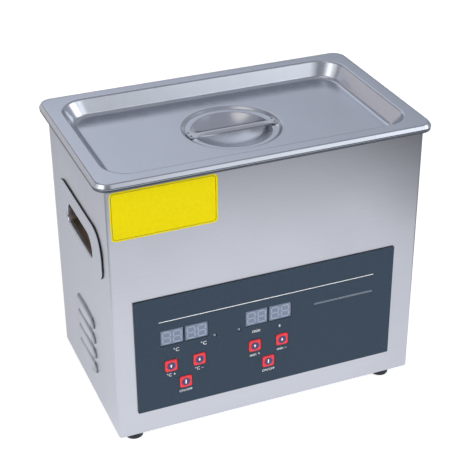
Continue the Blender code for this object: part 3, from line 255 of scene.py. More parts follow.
# Moulded rubber is nearly black and dull, with a fine even grain.
foot_rubber = moulded("moulded_black_rubber", "1E242B", "161B21", 0.62, 0.5, 0.3)
foot_height = 0.0098
foot_x = 0.1088
foot_y = 0.0585
foot_top = 0.0080
top_round = 0.0006
foot_tip = 0.0073
tip_round = 0.0008
foot_bore = 0.0035
bore_depth = 0.0035
bore_chamfer = 0.0001
foot_turns = 48
turn = np.linspace(0, np.pi / 2, 7)
top_out, top_up = foot_top - top_round, foot_height - top_round
top_edge = np.stack([top_out + top_round * np.sin(turn), top_up + top_round * np.cos(turn)], axis=1)
tip_out = foot_tip - tip_round
tip_edge = np.stack([tip_out + tip_round * np.cos(turn), tip_round - tip_round * np.sin(turn)], axis=1)
bore_edge = [(foot_bore + bore_chamfer, 0.0), (foot_bore, bore_chamfer)]
bore_end = [(foot_bore, bore_depth), (0.0, bore_depth)]
foot_profile = np.concatenate([[(0.0, foot_height)], top_edge, tip_edge, bore_edge, bore_end])
foot_faces = grid_faces(len(foot_profile), foot_turns)[:, ::-1]
for foot_name, side_x, side_y in (
    ("front_left", -1, -1),
    ("front_right", 1, -1),
    ("rear_left", -1, 1),
    ("rear_right", 1, 1),
):
    foot_points = turned_points(foot_profile, (side_x * foot_x, side_y * foot_y, 0), foot_turns)
    foot = surface(f"rubber_foot_{foot_name}", foot_points, foot_faces)
    fitted(foot, foot_rubber, "chassis", "black_rubber", f"foot_{foot_name}")


# Foot and base screws
# Pan-head steel screws with a cross recess. Four hold the feet, deep in their bores, and six more hold the
# base plate round its edge.
screw_rings = 14
screw_turns = 48


def screw_points(centre, axis, head_radius, head_height):
    """A domed head: height = h (1 - (r / R)^4), less a cross where |x| or |y| is under its half width.

    axis is the way that the head faces, "-z" or "y".
    """
    cross_half = 0.16
    cross_reach = 0.58
    cross_depth = 0.55
    share = np.linspace(0, 1, screw_rings)[:, None]
    angle = np.linspace(0, 2 * np.pi, screw_turns, endpoint=False)[None, :]
    x = share * np.cos(angle)
    y = share * np.sin(angle)
    height = head_height * (1 - share**4) + 0 * x
    in_cross = (np.minimum(np.abs(x), np.abs(y)) < cross_half) & (share < cross_reach)
    height = np.where(in_cross, height - cross_depth * head_height, height)
    flat = np.stack([x * head_radius, y * head_radius, height], axis=-1)
    if axis == "-z":
        flat = flat * (1, -1, -1)
    if axis == "y":
        flat = np.stack([-flat[..., 0], flat[..., 2], flat[..., 1]], axis=-1)
    return flat + np.asarray(centre)


# Bright zinc is a pale, slightly warm grey with blurred reflections.
zinc_plate = steel("zinc_plated_steel", "B4B2AC", 0.30, 0.42, (2, 2, 2), 0.05)
screw_faces = grid_faces(screw_rings, screw_turns)
screw_radius = 0.0026
foot_screw_z = 0.0034
foot_screw_head = 0.0012
base_low = 0.0101
base_screw_head = 0.0014
base_screw_x = 0.055
base_screw_y = 0.066
base_end_x = 0.1175
screw_places = [(sx * foot_x, sy * foot_y, foot_screw_z, foot_screw_head) for sx in (-1, 1) for sy in (-1, 1)]
for x in (-base_screw_x, base_screw_x):
    screw_places += [(x, sy * base_screw_y, base_low, base_screw_head) for sy in (-1, 1)]
screw_places += [(sx * base_end_x, 0.0, base_low, base_screw_head) for sx in (-1, 1)]
for number, (x, y, z, head) in enumerate(screw_places):
    head_points = screw_points((x, y, z), "-z", screw_radius, head)
    screw = surface(f"base_screw_{number + 1}", head_points, screw_faces)
    fitted(screw, zinc_plate, "chassis", "plated_steel")


# Tank
# Drawn from one stainless sheet, with a flat flange whose edge is turned down and then sheared. It hangs by
# the flange on the wrapper's top return, with a silicone gasket between them.
def ring(half_x, half_y, low, high=None, corner=18, side=14):
    """A rectangle with round corners, anticlockwise from its lower right: four arcs and straight runs.

    low and high are the corner radii below and above the middle.
    """
    high = low if high is None else high
    radius = np.array([low, high, high, low], float)[:, None]
    sign = np.array([(1, -1), (1, 1), (-1, 1), (-1, -1)], float)
    angle = (np.arange(4)[:, None] - 1 + np.linspace(0, 1, corner)[None, :]) * np.pi / 2
    arcs = np.stack([np.cos(angle) * radius, np.sin(angle) * radius], axis=-1)
    arcs = arcs + sign[:, None, :] * (np.array([half_x, half_y]) - radius)[:, None, :]
    share = (np.arange(1, side + 1) / (side + 1))[None, :, None]
    runs = arcs[:, -1:, :] * (1 - share) + np.roll(arcs, -1, axis=0)[:, :1, :] * share
    return np.concatenate([arcs, runs], axis=1).reshape(-1, 2)


def circle(radius, corner=18, side=14):
    """A circle with as many points as a ring, turned so that the ring's corners stay on the diagonals."""
    count = 4 * (corner + side)
    angle = ((np.arange(count) - (corner - 1) / 2) / count - 1 / 8) * 2 * np.pi
    return radius * np.stack([np.cos(angle), np.sin(angle)], axis=-1)


def lofted(name, rows, sheet=0.0, cap=True, sharp=40):
    """A skin through rows of (outline, height). cap closes its last row, and sheet is its wall's thickness.

    The wall goes on the skin's hidden side.
    """
    outlines = np.stack([outline for outline, _ in rows])
    heights = np.broadcast_to(np.array([height for _, height in rows])[:, None], outlines.shape[:2])
    points = np.concatenate([outlines, heights[..., None]], axis=-1)
    count = outlines.shape[1]
    faces = grid_faces(len(rows), count).tolist()
    if cap:
        faces.append(list(range((len(rows) - 1) * count, len(rows) * count)))
    piece = surface(name, points, faces, sharp)
    if sheet:
        wall = piece.modifiers.new("wall", "SOLIDIFY")
        wall.thickness = sheet
        wall.offset = -1
        wall.use_even_offset = True
    return piece


# Deep drawing leaves a smooth, faintly cloudy surface with no direction to it. The flange's turned-down edge
# is darker and duller, a painted shadow line under the lid.
drawn_stainless = steel("deep_drawn_stainless", "C4C9D2", 0.20, 0.28, (9, 9, 9), 0.02)
flange_shadow_edge = steel("painted_shadow_flange_edge", "777B81", 0.34, 0.46, (9, 9, 9), 0.05)
quarter = np.linspace(0, np.pi / 2, 9)
drawn_sheet = 0.0008
flange_top = 0.2299
flange_half = np.array([0.1322, 0.0808])
flange_corner = 0.0112
flange_bend = 0.0009
flange_lip = 0.0013
mouth_half = np.array([0.1184, 0.0670])
mouth_corner = 0.022
mouth_fillet = 0.0025
well = 0.100
wall_lean = 0.00616
well_fillet = 0.012
corner_share = 0.5
edge_rows = [(ring(*flange_half, flange_corner), flange_top - flange_lip)]
for a in quarter:
    drawn_in = flange_bend * (1 - np.cos(a))
    outline = ring(*(flange_half - drawn_in), flange_corner - drawn_in)
    edge_rows.append((outline, flange_top - flange_bend * (1 - np.sin(a))))
tank_rows = [edge_rows[-1]]
for a in quarter:
    out = mouth_fillet * (1 - np.sin(a))
    outline = ring(*(mouth_half + out), mouth_corner + out)
    tank_rows.append((outline, flange_top - mouth_fillet * (1 - np.cos(a))))
for a in quarter:
    drawn_in = wall_lean + well_fillet * (1 - np.cos(a))
    outline = ring(*(mouth_half - drawn_in), mouth_corner - corner_share * drawn_in)
    tank_rows.append((outline, flange_top - well + well_fillet * (1 - np.sin(a))))
fitted(lofted("tank_drawing", tank_rows, drawn_sheet), drawn_stainless, "chassis", "drawn_steel", "tank")
# The turned-down edge is a piece of its own, for its painted shadow line.
tank_edge = lofted("tank_flange_edge", edge_rows, drawn_sheet, cap=False)
fitted(tank_edge, flange_shadow_edge, "chassis", "drawn_steel")


def refinished(cad_node, finish):
    """Gives a CAD node that stays as it is a finish of its own."""
    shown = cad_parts[cad_node]
    shown.data.materials.clear()
    shown.data.materials.append(finish)


# Cut silicone sheet is a dull, warm white.
refinished("tank_gasket", moulded("cut_silicone_sheet", "C9C6BE", "BDBAB2", 0.55, 0.6, 0.2))


# Lid
# Drawn from one stainless sheet: a rolled and turned-in rim, a flat border, a sloping recess with filleted
# edges, and a stepped dish for the fingers. It lies loose on the tank's flange.
lid_half = np.array([0.1325, 0.0811])
lid_corner = 0.0115
lid_low = 0.2302
lid_top = 0.2342
rim_turn = 0.0022
rim_bend = 0.0006
roll = 0.0034
recess_half = np.array([0.1209, 0.0695])
recess_corner = 0.022
recess_depth = 0.0125
recess_run = 0.0115
top_fillet = 0.0025
floor_fillet = 0.0050
dish_radius = 0.0392
dish_step = 0.0020
step_run = 0.0040
bowl_radius = 0.0318
bowl_depth = 0.011
bowl_ledge = 1.055
bend_start = 0.0001
flat_start = 0.0003
dish_border = 0.0010


def rim_row(inset, height):
    """The lid's outline drawn in by inset, with its corners as much tighter, and its height."""
    return ring(*(lid_half - inset), lid_corner - inset), height


def recess_row(inset, height):
    """The recess's outline drawn in by inset, with its corners tighter by a share of that, and its height."""
    return ring(*(recess_half - inset), recess_corner - corner_share * inset), height


lid_rows = [rim_row(rim_turn, lid_low), rim_row(rim_bend + bend_start, lid_low)]
for a in quarter:
    lid_rows.append(rim_row(rim_bend * (1 - np.sin(a)), lid_low + rim_bend * (1 - np.cos(a))))
# The roll has a flat slanting band between two arcs.
roll_low, roll_high = np.radians((12, 62))
bent = np.concatenate([np.linspace(0, roll_low, 5), np.linspace(roll_high, np.pi / 2, 9)])
roll_away, roll_up = roll * (1 - np.cos(bent)), lid_top - roll * (1 - np.sin(bent))
flat_share = np.array([0.06, 0.3, 0.7, 0.94])
roll_away = np.insert(roll_away, 5, roll_away[4] + (roll_away[5] - roll_away[4]) * flat_share)
roll_up = np.insert(roll_up, 5, roll_up[4] + (roll_up[5] - roll_up[4]) * flat_share)
lid_rows += [rim_row(away, height) for away, height in zip(roll_away, roll_up)]
lid_rows.append(rim_row(roll + flat_start, lid_top))
lid_rows.append(recess_row(-flat_start, lid_top))
# The recess's wall is a straight slope, tangent to the fillet above it and the one below it.
fillets = top_fillet + floor_fillet
reach = np.sqrt(recess_run**2 + recess_depth * (recess_depth - 2 * fillets))
slope = 2 * np.arctan(recess_depth / (recess_run + reach))
for a in np.linspace(0, slope, 13):
    lid_rows.append(recess_row(top_fillet * np.sin(a), lid_top - top_fillet * (1 - np.cos(a))))
for a in np.linspace(slope, 0, 17):
    height = lid_top - recess_depth + floor_fillet * (1 - np.cos(a))
    lid_rows.append(recess_row(recess_run - floor_fillet * np.sin(a), height))
recess_floor = lid_top - recess_depth
lid_rows.append(recess_row(recess_run + flat_start, recess_floor))
# The dish starts with a step, half a cosine wave high. A level ledge and a bowl, part of a sphere, follow.
lid_rows.append((circle(dish_radius + dish_border), recess_floor))
dish_floor = recess_floor - dish_step
for s in np.linspace(0, 1, 13):
    height = recess_floor - dish_step * (1 - np.cos(np.pi * s)) / 2
    lid_rows.append((circle(dish_radius + 2 * flat_start - step_run * s), height))
lid_rows.append((circle(dish_radius - step_run + flat_start), dish_floor))
lid_rows.append((circle(bowl_radius * bowl_ledge), dish_floor))
sphere = (bowl_radius**2 + bowl_depth**2) / (2 * bowl_depth)
bowl_share = np.array([1.04, 1.02, 1.0, 0.98, 0.95, 0.90, 0.82, 0.72, 0.6, 0.46, 0.32, 0.18, 0.06])
bowl_drop = np.sqrt(sphere**2 - (bowl_radius * np.minimum(bowl_share, 1.0)) ** 2) - (sphere - bowl_depth)
bowl_edge, bowl_round = 1.04, 0.06
bowl_drop = bowl_drop * np.clip((bowl_edge - bowl_share) / bowl_round, 0, 1)
lid_rows += [(circle(bowl_radius * s), dish_floor - d) for s, d in zip(bowl_share, bowl_drop)]
lid_skin = lofted("lid_drawing", lid_rows, drawn_sheet, sharp=60)
fitted(lid_skin, drawn_stainless, "lid", "drawn_steel", "lid")


# Lid strap
# A narrow crowned strip of stainless, bridged over the dish. Its ends widen into flat tabs, each held on the
# dish's ledge by two spot welds.
def smooth_step(place, start, run):
    """From 0 at start to 1 a run further on: 3 v^2 - 2 v^3, where v is the share of the run, 0 to 1."""
    share = np.clip((place - start) / run, 0, 1)
    return share * share * (3 - 2 * share)


strap_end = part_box("lid_handle")[1].x
strap_sheet = 0.0012
seat_gap = 0.0003
strap_low = dish_floor + seat_gap + strap_sheet
strap_rise = 0.0002
strap_crown = 0.0012
strap_tab = 0.0333
strap_bend = 0.020
tab_half = 0.0055
strap_waist = 0.00125
waist_run = 0.004
tip_run = 0.0012
tip_square = 0.81
tab_part = np.linspace(-strap_end, -strap_tab, 7)
bend_part = np.linspace(-strap_tab, -strap_bend, 26)[1:]
station = np.concatenate([tab_part, bend_part, np.linspace(-strap_bend, 0.0, 8)[1:]])
station = np.concatenate([station, -station[-2::-1]])
from_tab = strap_tab - np.abs(station)
lift = smooth_step(from_tab, start=0.0, run=strap_tab - strap_bend)
half_width = tab_half - strap_waist * np.clip(from_tab / waist_run, 0, 1)
from_end = np.clip((strap_end - np.abs(station)) / tip_run, 0, 1)
half_width = half_width * np.sqrt(from_end * (1 - tip_square) + tip_square)
over = np.linspace(-1, 1, 21)
share = np.concatenate([over, over[::-1]])
under = np.repeat([0.0, strap_sheet], len(over))
crowned = strap_rise - strap_crown * share[None, :] ** 2
strap_height = strap_low + lift[:, None] * crowned - under[None, :]
strap_parts = (station[:, None], share[None, :] * half_width[:, None], strap_height)
strap_points = np.stack(np.broadcast_arrays(*strap_parts), axis=-1)
strap_faces = grid_faces(len(station), len(share))[:, ::-1].tolist()
near_end = np.arange(len(share))
far_end = near_end[::-1] + len(share) * (len(station) - 1)
strap = surface("lid_strap", strap_points, [*strap_faces, near_end, far_end])
# Bent strip keeps a soft sheen. Between the tabs its back half has painted shade, a darker tone.
strap_stainless = steel("bent_stainless_strip", "CDD0D6", 0.24, 0.32, (9, 9, 9), 0.05)
shaded_back, unshaded_front = 0.0012, -0.0004
shaded_middle, unshaded_tabs = 0.0270, 0.0310
paint_shade(strap_stainless, "6E7076", ("Y", shaded_back, unshaded_front), ("X", shaded_middle, unshaded_tabs))
fitted(strap, strap_stainless, "lid", "drawn_steel", "lid_handle")
# A spot weld is a low dark bump, rough with scale.
weld_scale = steel("heat_darkened_weld", "5E5C5C", 0.40, 0.55, (0.5, 0.5, 0.5), 0.20)
weld_x = 0.0347
weld_y = 0.0031
weld_radius = 0.0010
weld_height = 0.00020
weld_lift = 0.00002
weld_rings = 7
weld_turns = 24
inwards = np.linspace(1, 0, weld_rings)
weld_profile = np.stack([weld_radius * inwards, weld_height * (1 - inwards**2)], axis=1)
weld_faces = grid_faces(weld_rings, weld_turns)
for number, (x, y) in enumerate([(sx * weld_x, sy * weld_y) for sx in (-1, 1) for sy in (-1, 1)]):
    weld_points = turned_points(weld_profile, (x, y, strap_low + weld_lift), weld_turns)
    weld = surface(f"strap_weld_{number + 1}", weld_points, weld_faces)
    fitted(weld, weld_scale, "lid", "drawn_steel")


# Side handles
# Pressed stainless plates, each drawn into a finger cup through the side wall. The plate's rounded edge ends
# against the wall, and its outer half is painted nearly black as a shadow line.
handle_low = 0.1432
grip_low = 0.1510
handle_ahead = 0.002
plate_half = np.array([0.0573, 0.0200])
plate_corners = np.array([0.011, 0.020])
grip_half = np.array([0.0335, 0.0090])
grip_corners = np.array([0.005, 0.012])
plate_edge = 0.0009
plate_face = 0.0014
plate_foot = 0.0003
grip_edge = 0.0012
cup_draft = 0.0006
cup_round = np.array([0.0006, 0.0012])
handle_sheet = 0.0006
cup = housing_half_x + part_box("handle_left")[1].x - handle_sheet


def plate_row(inset, height):
    """The plate's outline drawn in by inset, its corners as much tighter, and its height off the wall."""
    outline = ring(*(plate_half - inset), *(plate_corners - inset))
    return outline + (0, handle_low + plate_half[1] - grip_low), height


def grip_row(gap, height):
    """The grip's outline let out by gap, its corners as much wider, and its height off the wall."""
    return ring(*(grip_half + gap), *(grip_corners + gap)) + (0, grip_half[1]), height


# Pressed stainless keeps its level lines on the plate. Inside the cup it has a warm painted shade, and the
# outer half of the rounded edge is painted nearly black as a shadow line.
pressed_stainless = steel("pressed_stainless", "D0D2D7", 0.24, 0.32, (60, 60, 0.6), 0.05)
cup_shaded = 0.0030
cup_unshaded = 0.0004
paint_shade(pressed_stainless, "ACA298", ("X", housing_half_x - cup_shaded, housing_half_x + cup_unshaded))
shadow_line_edge = steel("painted_shadow_line_edge", "3C3D40", 0.34, 0.46, (9, 9, 9), 0.05)
handle_rows = [plate_row(0, plate_foot)]
for a in quarter:
    handle_rows.append(plate_row(plate_edge * (1 - np.cos(a)), plate_face - plate_edge * (1 - np.sin(a))))
handle_rows.append(plate_row(plate_edge + flat_start, plate_face))
handle_rows.append(grip_row(grip_edge + flat_start, plate_face))
for a in quarter:
    handle_rows.append(grip_row(grip_edge * (1 - np.sin(a)), plate_face - grip_edge * (1 - np.cos(a))))
for a in quarter:
    drawn_in = cup_draft + cup_round[0] * (1 - np.cos(a))
    handle_rows.append(grip_row(-drawn_in, -cup + cup_round[1] * (1 - np.sin(a))))
edge_end = 5
for side_name, side in (("left", -1), ("right", 1)):
    handle = lofted(f"pressed_handle_{side_name}", handle_rows[edge_end:], handle_sheet)
    # The outer half of the rounded edge is a piece of its own, for its painted shadow line.
    handle_edge = lofted(f"handle_edge_{side_name}", handle_rows[: edge_end + 1], handle_sheet, cap=False)
    # The outline's x runs along the wall, its y goes up, and its height stands out from the wall.
    turn_out = Matrix(((0, 0, side), (side, 0, 0), (0, 1, 0))).to_4x4()
    place = Matrix.Translation((side * housing_half_x, -handle_ahead, grip_low))
    handle.data.transform(place @ turn_out)
    handle_edge.data.transform(place @ turn_out)
    fitted(handle, pressed_stainless, "chassis", "drawn_steel", f"handle_{side_name}")
    fitted(handle_edge, shadow_line_edge, "chassis", "drawn_steel")


# Sticker
# A yellow vinyl sticker with rounded corners, stuck on the upper left of the front. It is bare but for a thin
# border line.
def frame_line(name, half_x, half_y, radius, width, centre, face_y):
    """A flat printed border: the band between an outline and the same outline drawn in by its width."""
    least_radius = 0.0002
    outer = ring(half_x, half_y, radius)
    inner = ring(half_x - width, half_y - width, max(radius - width, least_radius))
    flat = np.concatenate([outer, inner])
    points = np.stack([flat[:, 0] + centre[0], np.full(len(flat), face_y), flat[:, 1] + centre[1]], axis=-1)
    return surface(name, points, grid_faces(2, len(outer)))


# Printed vinyl is a flat, even yellow with hardly any shine.
sticker_vinyl = moulded("printed_yellow_vinyl", "DECD04", "D8C702", 0.42, 3.0, 0.05)
vinyl_shine = 0.04
sticker_vinyl.node_tree.nodes["Principled BSDF"].inputs["Specular IOR Level"].default_value = vinyl_shine
black_ink = moulded("black_screen_ink", "1C1C1A", "151513", 0.45, 1.0, 0.05)
# A shape drawn flat is stood up on the front wall: its y goes up, and its height comes forward.
front_turn = Matrix(((1, 0, 0), (0, 0, -1), (0, 1, 0))).to_4x4()
sticker_half = np.array([0.0404, 0.0196])
sticker_at = np.array([-0.0823, 0.2055])
sticker_corner = 0.0035
sticker_sheet = 0.00012
sticker_glue = 0.00002
ink_lift = 0.00018
ink_y = -housing_half_y - ink_lift
keyline_inset = 0.0012
keyline_corner = 0.0028
keyline_width = 0.0003
sticker_outline = ring(*sticker_half, sticker_corner)
sticker = lofted("front_sticker", [(sticker_outline, 0.0), (sticker_outline, sticker_sheet)])
sticker_place = Matrix.Translation((sticker_at[0], -housing_half_y - sticker_glue, sticker_at[1]))
sticker.data.transform(sticker_place @ front_turn)
fitted(sticker, sticker_vinyl, "chassis", "panel_film")
keyline_half = sticker_half - keyline_inset
keyline = frame_line("sticker_border", *keyline_half, keyline_corner, keyline_width, sticker_at, ink_y)
fitted(keyline, black_ink, "chassis", "panel_film")


# Control panel
# A slate polycarbonate film, glued to the front wall. It is screen printed with thin white and grey lines and
# plain unit marks.
# The film has a faint even grain and little shine, and the inks are flat.
panel_film = moulded("printed_polycarbonate_film", "303F4F", "2C3B4B", 0.34, 2.0, 0.05)
film_shine = 0.2
panel_film.node_tree.nodes["Principled BSDF"].inputs["Specular IOR Level"].default_value = film_shine
white_ink = moulded("white_screen_ink", "F2F4F6", "E8EAEC", 0.5, 1.0, 0.05)
grey_ink = moulded("grey_screen_ink", "8D95A1", "858D99", 0.5, 1.0, 0.05)
refinished("control_panel", panel_film)
panel_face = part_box("control_panel")[0].y
print_lift = 0.00005
print_y = panel_face - print_lift


def print_bars(name, bars, finish, face_y=print_y, slot="panel_film"):
    """Flat printed bars, each given as (x from, x to, z from, z to), as one piece of ink on the panel."""
    low_x, high_x, low_z, high_z = np.asarray(bars, float).T
    y = np.full(len(bars), face_y)
    corners = [(low_x, low_z), (high_x, low_z), (high_x, high_z), (low_x, high_z)]
    points = np.stack([np.stack([x, y, z], axis=-1) for x, z in corners], axis=1)
    piece = surface(name, points, np.arange(4 * len(bars)).reshape(-1, 4))
    return fitted(piece, finish, "chassis", slot)


def printed_mark(name, words, height, centre):
    """Words in Blender's own font, scaled to a height, turned upright on the panel and centred on (x, z)."""
    text = bpy.data.curves.new(name, "FONT")
    text.body = words
    text.size = height
    text.align_x = "CENTER"
    text.align_y = "CENTER"
    text.resolution_u = 3
    holder = bpy.data.objects.new(name, text)
    bpy.context.scene.collection.objects.link(holder)
    bpy.context.view_layer.update()
    mesh = bpy.data.meshes.new_from_object(holder.evaluated_get(bpy.context.evaluated_depsgraph_get()))
    bpy.data.objects.remove(holder)
    mesh.transform(Matrix.Translation((centre[0], print_y, centre[1])) @ front_turn)
    piece = bpy.data.objects.new(name, mesh)
    bpy.context.scene.collection.objects.link(piece)
    return fitted(piece, white_ink, "chassis", "panel_film")


long_rule = (-0.0905, 0.0882, 0.1104, 0.11095)
upper_rule = (0.0374, 0.0880, 0.0957, 0.0961)
lower_rule = (0.0374, 0.0880, 0.0948, 0.0952)
print_bars("panel_rule", [long_rule], white_ink)
print_bars("panel_double_rule", [upper_rule, lower_rule], grey_ink)
unit_size, unit_z = 0.0046, 0.0833
step_size, step_z = 0.0038, 0.0613
power_size, power_z = 0.0030, 0.0438
for mark_name, words, size, x, z in (
    ("unit_set", "°C", unit_size, -0.0773, unit_z),
    ("unit_actual", "°C", unit_size, -0.0552, unit_z),
    ("unit_minutes", "min", unit_size, -0.0117, unit_z),
    ("unit_seconds", "s", unit_size, 0.0080, unit_z),
    ("mark_heat_plus", "°C +", step_size, -0.0820, step_z),
    ("mark_heat_minus", "°C –", step_size, -0.0592, step_z),
    ("mark_time_plus", "min +", step_size, -0.0127, step_z),
    ("mark_time_minus", "min –", step_size, 0.0102, step_z),
    ("mark_heat_power", "ON/OFF", power_size, -0.0705, power_z),
    ("mark_time_power", "ON/OFF", power_size, -0.0012, power_z),
):
    printed_mark(mark_name, words, size, (x, z))


# Displays
# Two-digit numeric modules, soldered to the board behind the film and seen through its windows. All are
# unlit.
# The cast epoxy face is a smooth blue-grey, and its segments are a paler, frosted epoxy.
display_epoxy = moulded("grey_epoxy_display_face", "737F96", "6B778D", 0.30, 0.9, 0.04)
segment_epoxy = moulded("diffusing_segment_epoxy", "96A3B7", "8E9BAF", 0.40, 2.0, 0.04)
display_behind = 0.0002
segment_lift = 0.00004
segment_y = panel_face + display_behind - segment_lift
digit_half = np.array([0.0030, 0.0048])
digit_out = 0.0043
bar = 0.0010
level_gap = 0.0004
upright_gap = 0.0006
for display_name in ("set", "actual", "minutes", "seconds"):
    low_corner, high_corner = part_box(f"display_{display_name}")
    centre_x = (low_corner.x + high_corner.x) / 2
    middle_z = (low_corner.z + high_corner.z) / 2
    refinished(f"display_{display_name}", display_epoxy)
    bars = []
    for digit_x in (centre_x - digit_out, centre_x + digit_out):
        left, right = digit_x - digit_half[0], digit_x + digit_half[0]
        low, high = middle_z - digit_half[1], middle_z + digit_half[1]
        level = (left + level_gap, right - level_gap)
        bars += [(*level, z - bar / 2, z + bar / 2) for z in (low, middle_z, high)]
        for x in (left, right):
            bars += [
                (x - bar / 2, x + bar / 2, low + upright_gap, middle_z - upright_gap),
                (x - bar / 2, x + bar / 2, middle_z + upright_gap, high - upright_gap),
            ]
    print_bars(f"digits_{display_name}", bars, segment_epoxy, face_y=segment_y, slot="display_face")


# Keys
# Moulded red caps with softened edges, each with a skirt behind the film and a stem down to its switch. A
# dark printed disc carries a pale arrow or bar.
# Moulded ABS is an even, strong red with a soft shine, and the inks are flat.
key_red = moulded("moulded_red_abs", "E4303C", "DE2A36", 0.36, 0.8, 0.06)
disc_ink = moulded("indigo_screen_ink", "4A3566", "43305E", 0.45, 1.0, 0.05)
key_half = 0.005
key_corner = 0.0016
key_top = 0.0008
key_edge = 0.0005
stem_half = 0.0015
stem_corner = 0.00149
stem_back = -0.0074
skirt_half = 0.0056
skirt_back = -0.0019
skirt_front = -0.0011
disc_radius = 0.0034


def key_row(half, corner, height):
    """A square outline with round corners, with fewer points than larger pieces need, and its height."""
    return ring(half, half, corner, corner=8, side=4), height


key_rows = [key_row(stem_half, stem_corner, stem_back), key_row(stem_half, stem_corner, skirt_back)]
key_rows += [key_row(skirt_half, key_corner, skirt_back), key_row(skirt_half, key_corner, skirt_front)]
key_rows += [key_row(key_half, key_corner, skirt_front)]
for a in quarter:
    drawn_in = key_edge * (1 - np.cos(a))
    height = key_top - key_edge * (1 - np.sin(a))
    key_rows.append(key_row(key_half - drawn_in, key_corner - corner_share * drawn_in, height))
around = np.linspace(0, 2 * np.pi, 40, endpoint=False)
disc = disc_radius * np.stack([np.cos(around), np.sin(around)], axis=-1)
arrow_left = 0.001 * np.array([(0.0, 1.5), (-1.0, 0.1), (-0.42, 0.1), (-0.42, -1.4)])
arrow = np.concatenate([arrow_left, arrow_left[:0:-1] * (-1, 1)])
bar_mark = 0.001 * np.array([(-0.5, -1.8), (0.5, -1.8), (0.5, 1.8), (-0.5, 1.8)])
marks = {"up": arrow, "down": -arrow, "power": bar_mark}
disc_lift = 0.00004
mark_lift = 0.00008
for group_name in ("heat", "timer"):
    for key_name in ("up", "down", "power"):
        body = f"key_{group_name}_{key_name}"
        low_corner, high_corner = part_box(body)
        x = (low_corner.x + high_corner.x) / 2
        z = (low_corner.z + high_corner.z) / 2
        cap = lofted(f"cap_{group_name}_{key_name}", key_rows)
        cap.data.transform(Matrix.Translation((x, panel_face, z)) @ front_turn)
        fitted(cap, key_red, body, "red_key", body)
        for layer, outline, finish, lift_off in (
            ("disc", disc, disc_ink, disc_lift),
            ("arrow", marks[key_name], white_ink, mark_lift),
        ):
            face_y = np.full(len(outline), panel_face - key_top - lift_off)
            flat = np.stack([outline[:, 0] + x, face_y, outline[:, 1] + z], axis=-1)
            mark = surface(f"{layer}_{group_name}_{key_name}", flat, [np.arange(len(outline))])
            fitted(mark, finish, body, "red_key")


# Indicator lamps
# Small domed lamps on the board behind the film, which look through holes beside the displays. Both are
# unlit.
# Cast epoxy is a smooth, tinted grey with a small sharp highlight.
lamp_epoxy = moulded("tinted_epoxy_lens", "7E8A9A", "748090", 0.22, 2.0, 0.02)
for lamp in ("lamp_heat", "lamp_timer"):
    refinished(lamp, lamp_epoxy)


# Mains inlet and fuse drawer
# A black nylon moulding with a three-blade socket over a drawer for the fuse. Two screws hold it in the rear
# wall.
# Moulded nylon is black with a soft, slightly grainy shine, and the fuse is a clear glass tube.
black_nylon = moulded("moulded_black_nylon", "1E1F21", "17181A", 0.48, 0.7, 0.15)
for piece_name, node_name, body in (
    ("inlet_moulding", "mains_inlet", "chassis"),
    ("fuse_drawer_moulding", "fuse_drawer", "fuse_drawer"),
):
    fitted(smooth_copy(piece_name, node_name), black_nylon, body, "switch_black", node_name)
inlet_x = -0.075
inlet_screw_out = 0.0200
inlet_screw_y = 0.0773
inlet_screw_z = 0.0564
inlet_screw_head = 0.0011
for number, x in enumerate((inlet_x - inlet_screw_out, inlet_x + inlet_screw_out)):
    head = screw_points((x, inlet_screw_y, inlet_screw_z), "y", screw_radius, inlet_screw_head)
    fitted(surface(f"inlet_screw_{number + 1}", head, screw_faces), zinc_plate, "chassis", "plated_steel")
refinished("fuse", moulded("clear_glass_tube", "D5DCDC", "CDD5D5", 0.08, 3.0, 0.02))


# Inside
# What is mounted under the tank and on the base plate: transducer stacks, heaters, boards and their parts.
# Metals are marked 1.0 for metallic. Machined and plated parts are bright, and the rest are dull.
inside = (
    (
        moulded("machined_aluminium", "C9C9CB", "BEBEC1", 0.35, 0.4, 0.1),
        1.0,
        ("front_mass_left", "front_mass_right", "heat_sink"),
    ),
    (
        moulded("plated_carbon_steel", "A9A79F", "9C9A92", 0.40, 0.8, 0.1),
        1.0,
        ("back_mass_left", "back_mass_right", "stack_bolt_left", "stack_bolt_right", "temperature_sensor"),
    ),
    (
        moulded("fired_piezo_ceramic", "C5BCAA", "B9B09E", 0.55, 0.5, 0.15),
        0.0,
        [f"piezo_ring_{side}_{level}" for side in ("left", "right") for level in ("upper", "lower")],
    ),
    (
        moulded("moulded_heater_silicone", "C2622E", "B45826", 0.65, 0.6, 0.3),
        0.0,
        ("heater_pad_front", "heater_pad_rear"),
    ),
    (
        moulded("solder_mask_board", "2B6A43", "24603B", 0.42, 1.5, 0.08),
        0.0,
        ("display_board", "generator_board"),
    ),
    (moulded("sintered_ferrite", "3A3A3C", "303032", 0.55, 0.4, 0.2), 0.0, ("transformer_core",)),
    (moulded("wound_polyester_tape", "D0B04A", "C4A43E", 0.45, 1.2, 0.1), 0.0, ("transformer_coil",)),
    (moulded("flat_cable_jacket", "B0B2B5", "A4A6A9", 0.55, 1.3, 0.2), 0.0, ("ribbon_cable",)),
    (
        moulded("moulded_black_epoxy", "232426", "1B1C1E", 0.5, 0.5, 0.15),
        0.0,
        (
            "thermal_cutout",
            "power_transistor_left",
            "power_transistor_right",
            "filter_capacitor",
            "heater_relay",
            *(f"switch_{group}_{key}" for group in ("heat", "timer") for key in ("up", "down", "power")),
        ),
    ),
)
for finish, metallic, names in inside:
    finish.node_tree.nodes["Principled BSDF"].inputs["Metallic"].default_value = metallic
    for name in names:
        refinished(name, finish)


